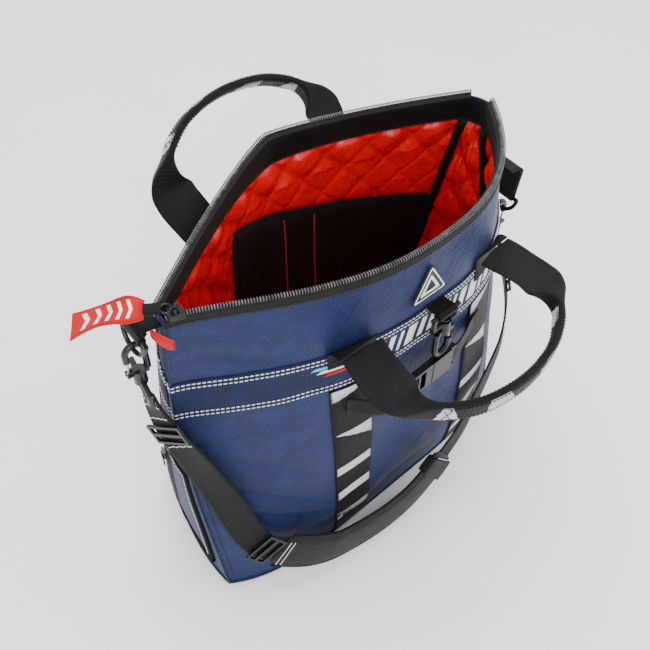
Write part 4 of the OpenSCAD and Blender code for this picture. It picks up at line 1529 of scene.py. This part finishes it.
@dataclass
class ShoulderStrap:
    """Shoulder strap: webbing, padded shoulder piece, keeper and sewn ends.

    Attributes:
        finishes: The bag's finishes.
        width: Width of the webbing.
        pad_width: Width of the pad.
        pad_from: Where the pad starts on the route.
        pad_to: Where it ends.
        oval: Half length and half depth of the oval that the strap faces away from.
        keeper_at: Where the keeper sits on the route.
    """

    finishes: Finishes
    width: float = 38.0
    pad_width: float = 60.0
    pad_from: float = 7.4
    pad_to: float = 14.0
    oval: Point = (230.0, 110.0)
    keeper_at: float = 13.4

    def __post_init__(self) -> None:
        """Sets the strap's route, as its solids have it."""
        self.route = [Vector(p) for p in (
            (-239, 8, 318), (-242, -4, 300), (-240, -20, 276), (-233, -36, 244), (-224, -50, 202),
            (-215, -66, 158), (-208, -82, 114), (-196, -98, 84), (-165, -118, 62), (-130, -132, 43),
            (-92, -139, 35), (-50, -145, 34), (-12, -147, 38), (20, -147, 52), (48, -146, 72),
            (80, -142, 88), (115, -132, 106), (150, -121, 122), (186, -107, 140), (214, -88, 162),
            (232, -68, 182), (242, -50, 200), (245, -37, 217))]
        self.end = float(len(self.route) - 1)

    def spot(self, u: float, across: float, lift: float) -> Vector:
        """A place on the strap in metres: across its width and lifted off its face."""
        p, d = spline(self.route, u), heading(self.route, u)
        out = Vector((p.x / self.oval[0] ** 2, p.y / self.oval[1] ** 2, 0)).normalized()
        a = out.cross(d).normalized()
        return (p + a * across + d.cross(a) * lift) * MM

    def _run(self, name: str, start: float, end: float, node: str) -> None:
        """One length of webbing with two rows of edge stitches."""
        f = self.finishes
        n = int((end - start) * 7)
        rings = [[self.spot(mix(start, end, i / n), a,
                            b + 0.35 * math.sin(1.7 * mix(start, end, i / n) + a / 9))
                  for a, b in ribbon_section(self.width, 2.0)] for i in range(n + 1)]
        strap = loft(name, rings, [f.webbing], closed=True, caps=True)
        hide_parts(node)
        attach(strap, "shoulder_strap")
        edges = [[self.spot(mix(start, end, i / 60), a, 1.5) for i in range(61)] for a in (-16.4, 16.4)]
        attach(stitches(f"{name}_stitch", edges, f.thread_black, 4.2, 3.0, 0.4), "shoulder_strap")

    def build(self) -> None:
        """Makes the strap's webbing, pad, keeper and tacks."""
        f = self.finishes
        self._run("strap_left", 0.0, self.pad_from + 0.05, "strap_webbing_left")
        self._run("strap_right", self.pad_to - 0.05, self.end, "strap_webbing_right")
        self._pad()
        self._keeper()
        tacks = []
        for u in (0.55, 0.8, 1.35, 2.55, self.end - 2.6, self.end - 1.2, self.end - 0.5):
            tacks.append([self.spot(u + 0.03 * math.sin(i * 1.6), mix(-16, 16, i / 14), 1.7)
                          for i in range(15)])
        for u in (self.pad_from + 0.12, self.pad_from + 0.24, self.pad_to - 0.2):
            tacks.append([self.spot(u, mix(-22, 22, i / 18), 4.6) for i in range(19)])
        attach(stitches("strap_tacks", tacks, f.thread_white, 3.4, 2.9, 0.55), "shoulder_strap")
        LOG.info("shoulder strap")

    def pad_point(self, t: float, turn: float) -> tuple[float, float]:
        """Section of the crowned pad: across and lift at an angle, at share t of its length."""
        end = math.sqrt(max(0.0, 1 - (abs(2 * t - 1)) ** 14))
        c, s = math.cos(turn), math.sin(turn)
        half = self.pad_width / 2 * mix(0.72, 1.0, end)
        across = math.copysign(abs(c) ** 0.42, c) * half
        crown = 4.2 * (1 - 0.55 * (abs(across) / half) ** 3) * mix(0.5, 1.0, end)
        channel = 1 - 0.22 * math.exp(-((abs(across) - 23) / 2.2) ** 2)
        rumple = 0.35 * math.sin(t * 46 + across / 11)
        return across, math.copysign(abs(s) ** 0.6, s) * (crown + rumple) * channel

    def _pad(self) -> None:
        """The padded shoulder piece: crowned, with sewn channels, bound along its edges."""
        f = self.finishes
        count, section = 110, 36
        rings: Rings = []
        for i in range(count + 1):
            t = i / count
            u = mix(self.pad_from, self.pad_to, t)
            ring = [self.pad_point(t, math.tau * k / section) for k in range(section)]
            rings.append([self.spot(u, a, b) for a, b in ring])
        pad = loft("pad_cushion", rings, [f.pad_cloth], closed=True, caps=True)
        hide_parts("shoulder_pad")
        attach(pad, "shoulder_strap")
        for i, sign in enumerate((1, -1)):
            edge = [self.spot(mix(self.pad_from + 0.1, self.pad_to - 0.1, j / 90), sign * 29.4, 0)
                    for j in range(91)]
            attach(tube(f"pad_binding_{i}", edge, 1.7, f.grosgrain), "shoulder_strap")
        lines = [[self.spot(mix(self.pad_from + 0.15, self.pad_to - 0.15, j / 90), a, 3.4) for j in range(91)]
                 for a in (-23, 23)]
        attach(stitches("pad_topstitch", lines, f.thread_black, 4.4, 3.2, 0.45), "shoulder_strap")

    def _keeper(self) -> None:
        """The webbing keeper that wraps the pad near its upper end."""
        rings: Rings = []
        for j in range(15):
            u = self.keeper_at + mix(-0.36, 0.36, j / 14)
            bow = math.sin(math.pi * j / 14) * 0.5
            ring = []
            for k in range(28):
                turn = math.tau * k / 28
                c, s = math.cos(turn), math.sin(turn)
                a = math.copysign(abs(c) ** 0.3, c) * (32.4 + bow * 0.4)
                b = math.copysign(abs(s) ** 0.4, s) * (6.4 + bow)
                ring.append(self.spot(u, a, b))
            rings.append(ring)
        keeper = loft("keeper_band", rings, [self.finishes.webbing], closed=True)
        thicken(keeper, 1.4, -1.0)
        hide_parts("pad_keeper")
        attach(keeper, "shoulder_strap")


@dataclass
class RingTab:
    """A webbing tab that leaves the gusset, runs down round a strap ring's bar and back up behind itself.

    Attributes:
        finishes: The bag's finishes.
        word: Left or right.
        at: Middle of the ring's bar.
        away: 1 on the right, -1 on the left.
        rise: Height of the tab above the bar.
        reach: How far it runs back to the gusset.
        pitch: Lean of the swing line, in degrees.
        yaw: Turn of the swing line, in degrees.
    """

    finishes: Finishes
    word: str
    at: tuple[float, float, float]
    away: int
    rise: float
    reach: float
    pitch: float = 11.6564
    yaw: float = -4.85199

    def spot(self, across: float, out: float, up: float) -> Vector:
        """A place in metres from the ring's own directions."""
        yaw = Matrix.Rotation(math.radians(self.yaw), 3, "Z")
        turn = yaw @ Matrix.Rotation(math.radians(self.pitch), 3, "Y")
        return (Vector(self.at) + turn @ Vector((out * self.away, across, up))) * MM

    def build(self) -> None:
        """Makes the folded tab and its tacks."""
        f = self.finishes
        top = self.rise
        route = [Vector((a, 0, b)) for a, b in (
            (4 - self.reach, top - 2.6), (-12, top - 2.6), (-6, top - 2.4), (-1.0, top - 3.4), (1.6, top - 8),
            (2.2, 0.5 * top), (3.2, 3.0), (3.5, 0.0), (2.5, -2.6), (0.0, -3.6), (-2.5, -2.6), (-3.5, 0.0),
            (-2.2, 4.0), (-0.9, 0.5 * top + 1), (-1.4, top - 8.5), (-4.5, top - 5.4))]
        last = len(route) - 1
        rings: Rings = []
        for i in range(91):
            u = last * i / 90
            p, d = spline(route, u), heading(route, u)
            out = Vector((d.z, 0, -d.x))
            rings.append([self.spot(a, (p + out * b).x, (p + out * b).z)
                          for a, b in ribbon_section(29.4, 1.5)])
        tab = loft(f"{self.word}_ring_tab", rings, [f.webbing], closed=True, caps=True, flip=self.away > 0)
        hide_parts(f"ring_loop_{self.word}")
        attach(tab, "bag")
        rows = [[self.spot(mix(-12, 12, k / 16), 3.1, h) for k in range(17)] for h in (6.5, 9.0)]
        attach(stitches(f"{self.word}_ring_tack", rows, f.thread_black, 3.0, 2.3, 0.45), "bag")
        LOG.info("%s ring tab", self.word)


@dataclass
class CompressionStrap:
    """The 25 mm strap across the front, in two lengths either side of the buckle.

    Attributes:
        finishes: The bag's finishes.
        buckle: Middle of the buckle's joint.
    """

    finishes: Finishes
    buckle: tuple[float, float, float] = (16.0, -131.0, 252.0)

    def build(self) -> None:
        """Makes both lengths, each with a tack of stitches near its outer end."""
        f = self.finishes
        x, y, z = self.buckle
        for word, route in (("left", ((-97, 27.2), (-91, 24.2), (-80, 10), (-71, 1), (-64, 0), (-31, 0))),
                            ("right", ((31, 0), (45, 1), (62, 6), (80, 13), (96, 17.2)))):
            path = [Vector((x + a, y + b, z)) for a, b in route]
            last = len(path) - 1
            rings: Rings = []
            for i in range(41):
                u = last * i / 40
                p, d = spline(path, u), heading(path, u)
                out = Vector((d.y, -d.x, 0))
                rings.append([(p + Vector((0, 0, a)) + out * b) * MM for a, b in ribbon_section(24.6, 1.5)])
            strap = loft(f"compression_{word}", rings, [f.webbing], closed=True, caps=True)
            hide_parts(f"compression_strap_{word}")
            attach(strap, "bag")
            ends = path[0] if word == "left" else path[-1]
            box = [Vector((ends.x + (6 if word == "left" else -6), ends.y - 3.2, z + k)) * MM
                   for k in range(-9, 10)]
            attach(stitches(f"compression_tack_{word}", [box], f.thread_black, 2.6, 2.0, 0.5), "bag")
        LOG.info("compression strap")


@dataclass
class TrianglePatch:
    """Moulded triangle patch: a dark base with a raised white line, an inner wedge and a rounded rim.

    Attributes:
        finishes: The bag's finishes.
        x: Sideways place.
        z: Height of its middle.
    """

    finishes: Finishes
    x: float = 20.0
    z: float = 374.0

    def _triangle(self, name: str, grow: float, low: float, high: float, material: bpy.types.Material,
                  hole: float | None = None) -> bpy.types.Object:
        """A rounded triangle plate, or a triangle frame where a hole is given.

        Args:
            name: Object name.
            grow: Size against the patch's own outline.
            low: Underside's height.
            high: Top's height.
            material: Its material.
            hole: Size of the hole, or None.

        Returns:
            The object, placed on the bag.
        """
        place = Station(Side.FRONT, self.x, self.z, 1.4).matrix()

        def ring(size: float, lift: float) -> list[Vector]:
            """A rounded triangle's outline at a size and a height."""
            tips = ((0, 25), (-25, -20), (25, -20))
            centre = Vector((0, -5, 0))
            out: list[Vector] = []
            for i in range(3):
                a, b, c = (Vector((*tips[(i + k) % 3], 0)) for k in (2, 0, 1))
                for k in range(7):
                    t = k / 6
                    p = ((1 - t) ** 2) * b.lerp(a, 0.09) + 2 * t * (1 - t) * b + t * t * b.lerp(c, 0.09)
                    p = centre + (p - centre) * size
                    out.append(place @ (Vector((p.x, p.y, lift)) * MM))
            return out

        if hole is None:
            steps = [(grow, low), (grow, high - 0.5), (grow - 0.02, high - 0.1), (grow - 0.05, high),
                     (grow * 0.5, high), (0.02, high)]
        else:
            steps = [(hole, low), (hole, high - 0.3), (hole + 0.02, high), (grow - 0.02, high),
                     (grow, high - 0.3), (grow, low)]
        rows = [ring(size, lift) for size, lift in steps]
        return loft(name, rows, [material], closed=True, flip=hole is not None)

    def build(self) -> None:
        """Makes the patch's layers."""
        f = self.finishes
        base = self._triangle("patch_base", 1.0, 0.0, 2.0, f.rubber_dark)
        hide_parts("triangle_patch")
        line = self._triangle("patch_line", 0.9, 1.9, 2.4, f.rubber_white, 0.79)
        wedge = self._triangle("patch_wedge", 0.56, 1.9, 2.4, f.rubber_white, 0.34)
        for piece in (base, line, wedge):
            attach(piece, "bag")
        LOG.info("triangle patch")


@dataclass
class Fittings:
    """Finish and softened edges for the hard pieces that show as their own solids.

    Attributes:
        finishes: The bag's finishes.
    """

    finishes: Finishes
    ROUNDED: ClassVar[dict[str, float]] = {
        "patch_loop": 1.0, "buckle_female": 0.8, "buckle_male": 0.8, "strap_adjusters": 0.7,
        "zip_slider": 0.5, "side_pocket_slider": 0.4,
    }

    def build(self) -> None:
        """Gives each solid in the table its finish, and those in ROUNDED a small edge rounding."""
        f = self.finishes
        table = {
            f.plastic: ("buckle_female", "buckle_male", "patch_swivel", "patch_hook", "strap_adjusters",
                        "d_ring_right"),
            f.grey_plastic: ("strap_hook_left", "strap_hook_right", "d_ring_left"),
            f.dark_metal: ("zip_slider", "zip_pull_ring", "side_pocket_slider"),
            f.wire: ("patch_gate", "strap_gate_left", "strap_gate_right"),
            f.webbing: ("patch_loop",),
            f.board: ("bottom_board",),
        }
        for material, names in table.items():
            for name in names:
                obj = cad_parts[name]
                obj.data.materials.clear()
                obj.data.materials.append(material)
                LOG.info("fitting %s", name)
                if name not in self.ROUNDED:
                    continue
                bevel = obj.modifiers.new("edges", "BEVEL")
                bevel.width = self.ROUNDED[name] * MM
                bevel.segments = 2
                bevel.limit_method = "ANGLE"
                bevel.angle_limit = math.radians(40)


# ---------------------------------------------------------------- scene


@dataclass
class Studio:
    """Pale floor, soft lights and the camera.

    Attributes:
        eye: Camera's place in metres.
        look: Direction it looks in.
        lens: Focal length on a 36 mm square sensor.
    """

    eye: tuple[float, float, float] = (-0.459996, -0.477437, 1.017156)
    look: tuple[float, float, float] = (0.438380, 0.470105, -0.766044)
    lens: float = 49.85

    def build(self) -> None:
        """Makes the camera, the lights, the world and the floor."""
        scene = bpy.context.scene
        data = bpy.data.cameras.new("camera")
        data.lens = self.lens
        data.sensor_width = 36.0
        camera = bpy.data.objects.new("camera", data)
        camera.location = self.eye
        camera.rotation_mode = "QUATERNION"
        camera.rotation_quaternion = Vector(self.look).to_track_quat("-Z", "Y")
        scene.collection.objects.link(camera)
        scene.camera = camera
        world = bpy.data.worlds.new("studio_sky")
        world.use_nodes = True
        sky = world.node_tree.nodes["Background"]
        sky.inputs["Color"].default_value = (1.0, 1.0, 1.0, 1.0)
        sky.inputs["Strength"].default_value = 1.25
        scene.world = world
        lamps = (("key", (-1.3, -1.5, 2.0), 1.2, 42.0), ("fill", (1.9, -0.8, 1.4), 1.6, 14.0),
                 ("top", (0.2, 0.5, 2.3), 1.2, 40.0))
        for name, place, size, power in lamps:
            lamp = bpy.data.lights.new(name, "AREA")
            lamp.energy = power
            lamp.size = size
            light = bpy.data.objects.new(name, lamp)
            light.location = place
            light.rotation_mode = "QUATERNION"
            light.rotation_quaternion = (Vector((0, 0, 0.25)) - Vector(place)).to_track_quat("-Z", "Y")
            scene.collection.objects.link(light)
        n = Nodes("pale_floor")
        dust = n.blotches(n.coords(False), 300.0)
        n.link(n.colours(dust, (0.96, 0.96, 0.96, 1), (0.99, 0.99, 0.99, 1)), 0, n.shader, "Base Color")
        n.shader.inputs["Roughness"].default_value = 0.9
        wide = 6.0
        corners = [Vector((x * wide, y * wide, -0.0004)) for x, y in ((-1, -1), (1, -1), (1, 1), (-1, 1))]
        floor = make_object("floor", corners, [(0, 1, 2, 3)], None, [n.material])
        LOG.info("studio")


def main() -> None:
    """Builds the bag piece by piece, then the studio."""
    logging.basicConfig(level=logging.INFO, format="%(message)s")
    f = Finishes()
    Studio().build()
    OuterShell(f).build()
    QuiltedLining(f).build()
    InnerDetails(f).build()
    RimZip(f).build()
    ZipPull(f).build()
    Bands(f).build()
    SewnWebbing(f).build()
    Handle(f, Side.FRONT, 25.0, -110.985, 7.0).build()
    Handle(f, Side.BACK, 13.0, 106.409, 45.0).build()
    SidePocket(f).build()
    ShoulderStrap(f).build()
    RingTab(f, "left", (-238.0, 9.0, 402.0), -1, 14.0, 23.4).build()
    RingTab(f, "right", (245.0, -32.0, 302.0), 1, 44.0, 24.0).build()
    CompressionStrap(f).build()
    TrianglePatch(f).build()
    Fittings(f).build()


if __name__ == "__main__":
    main()
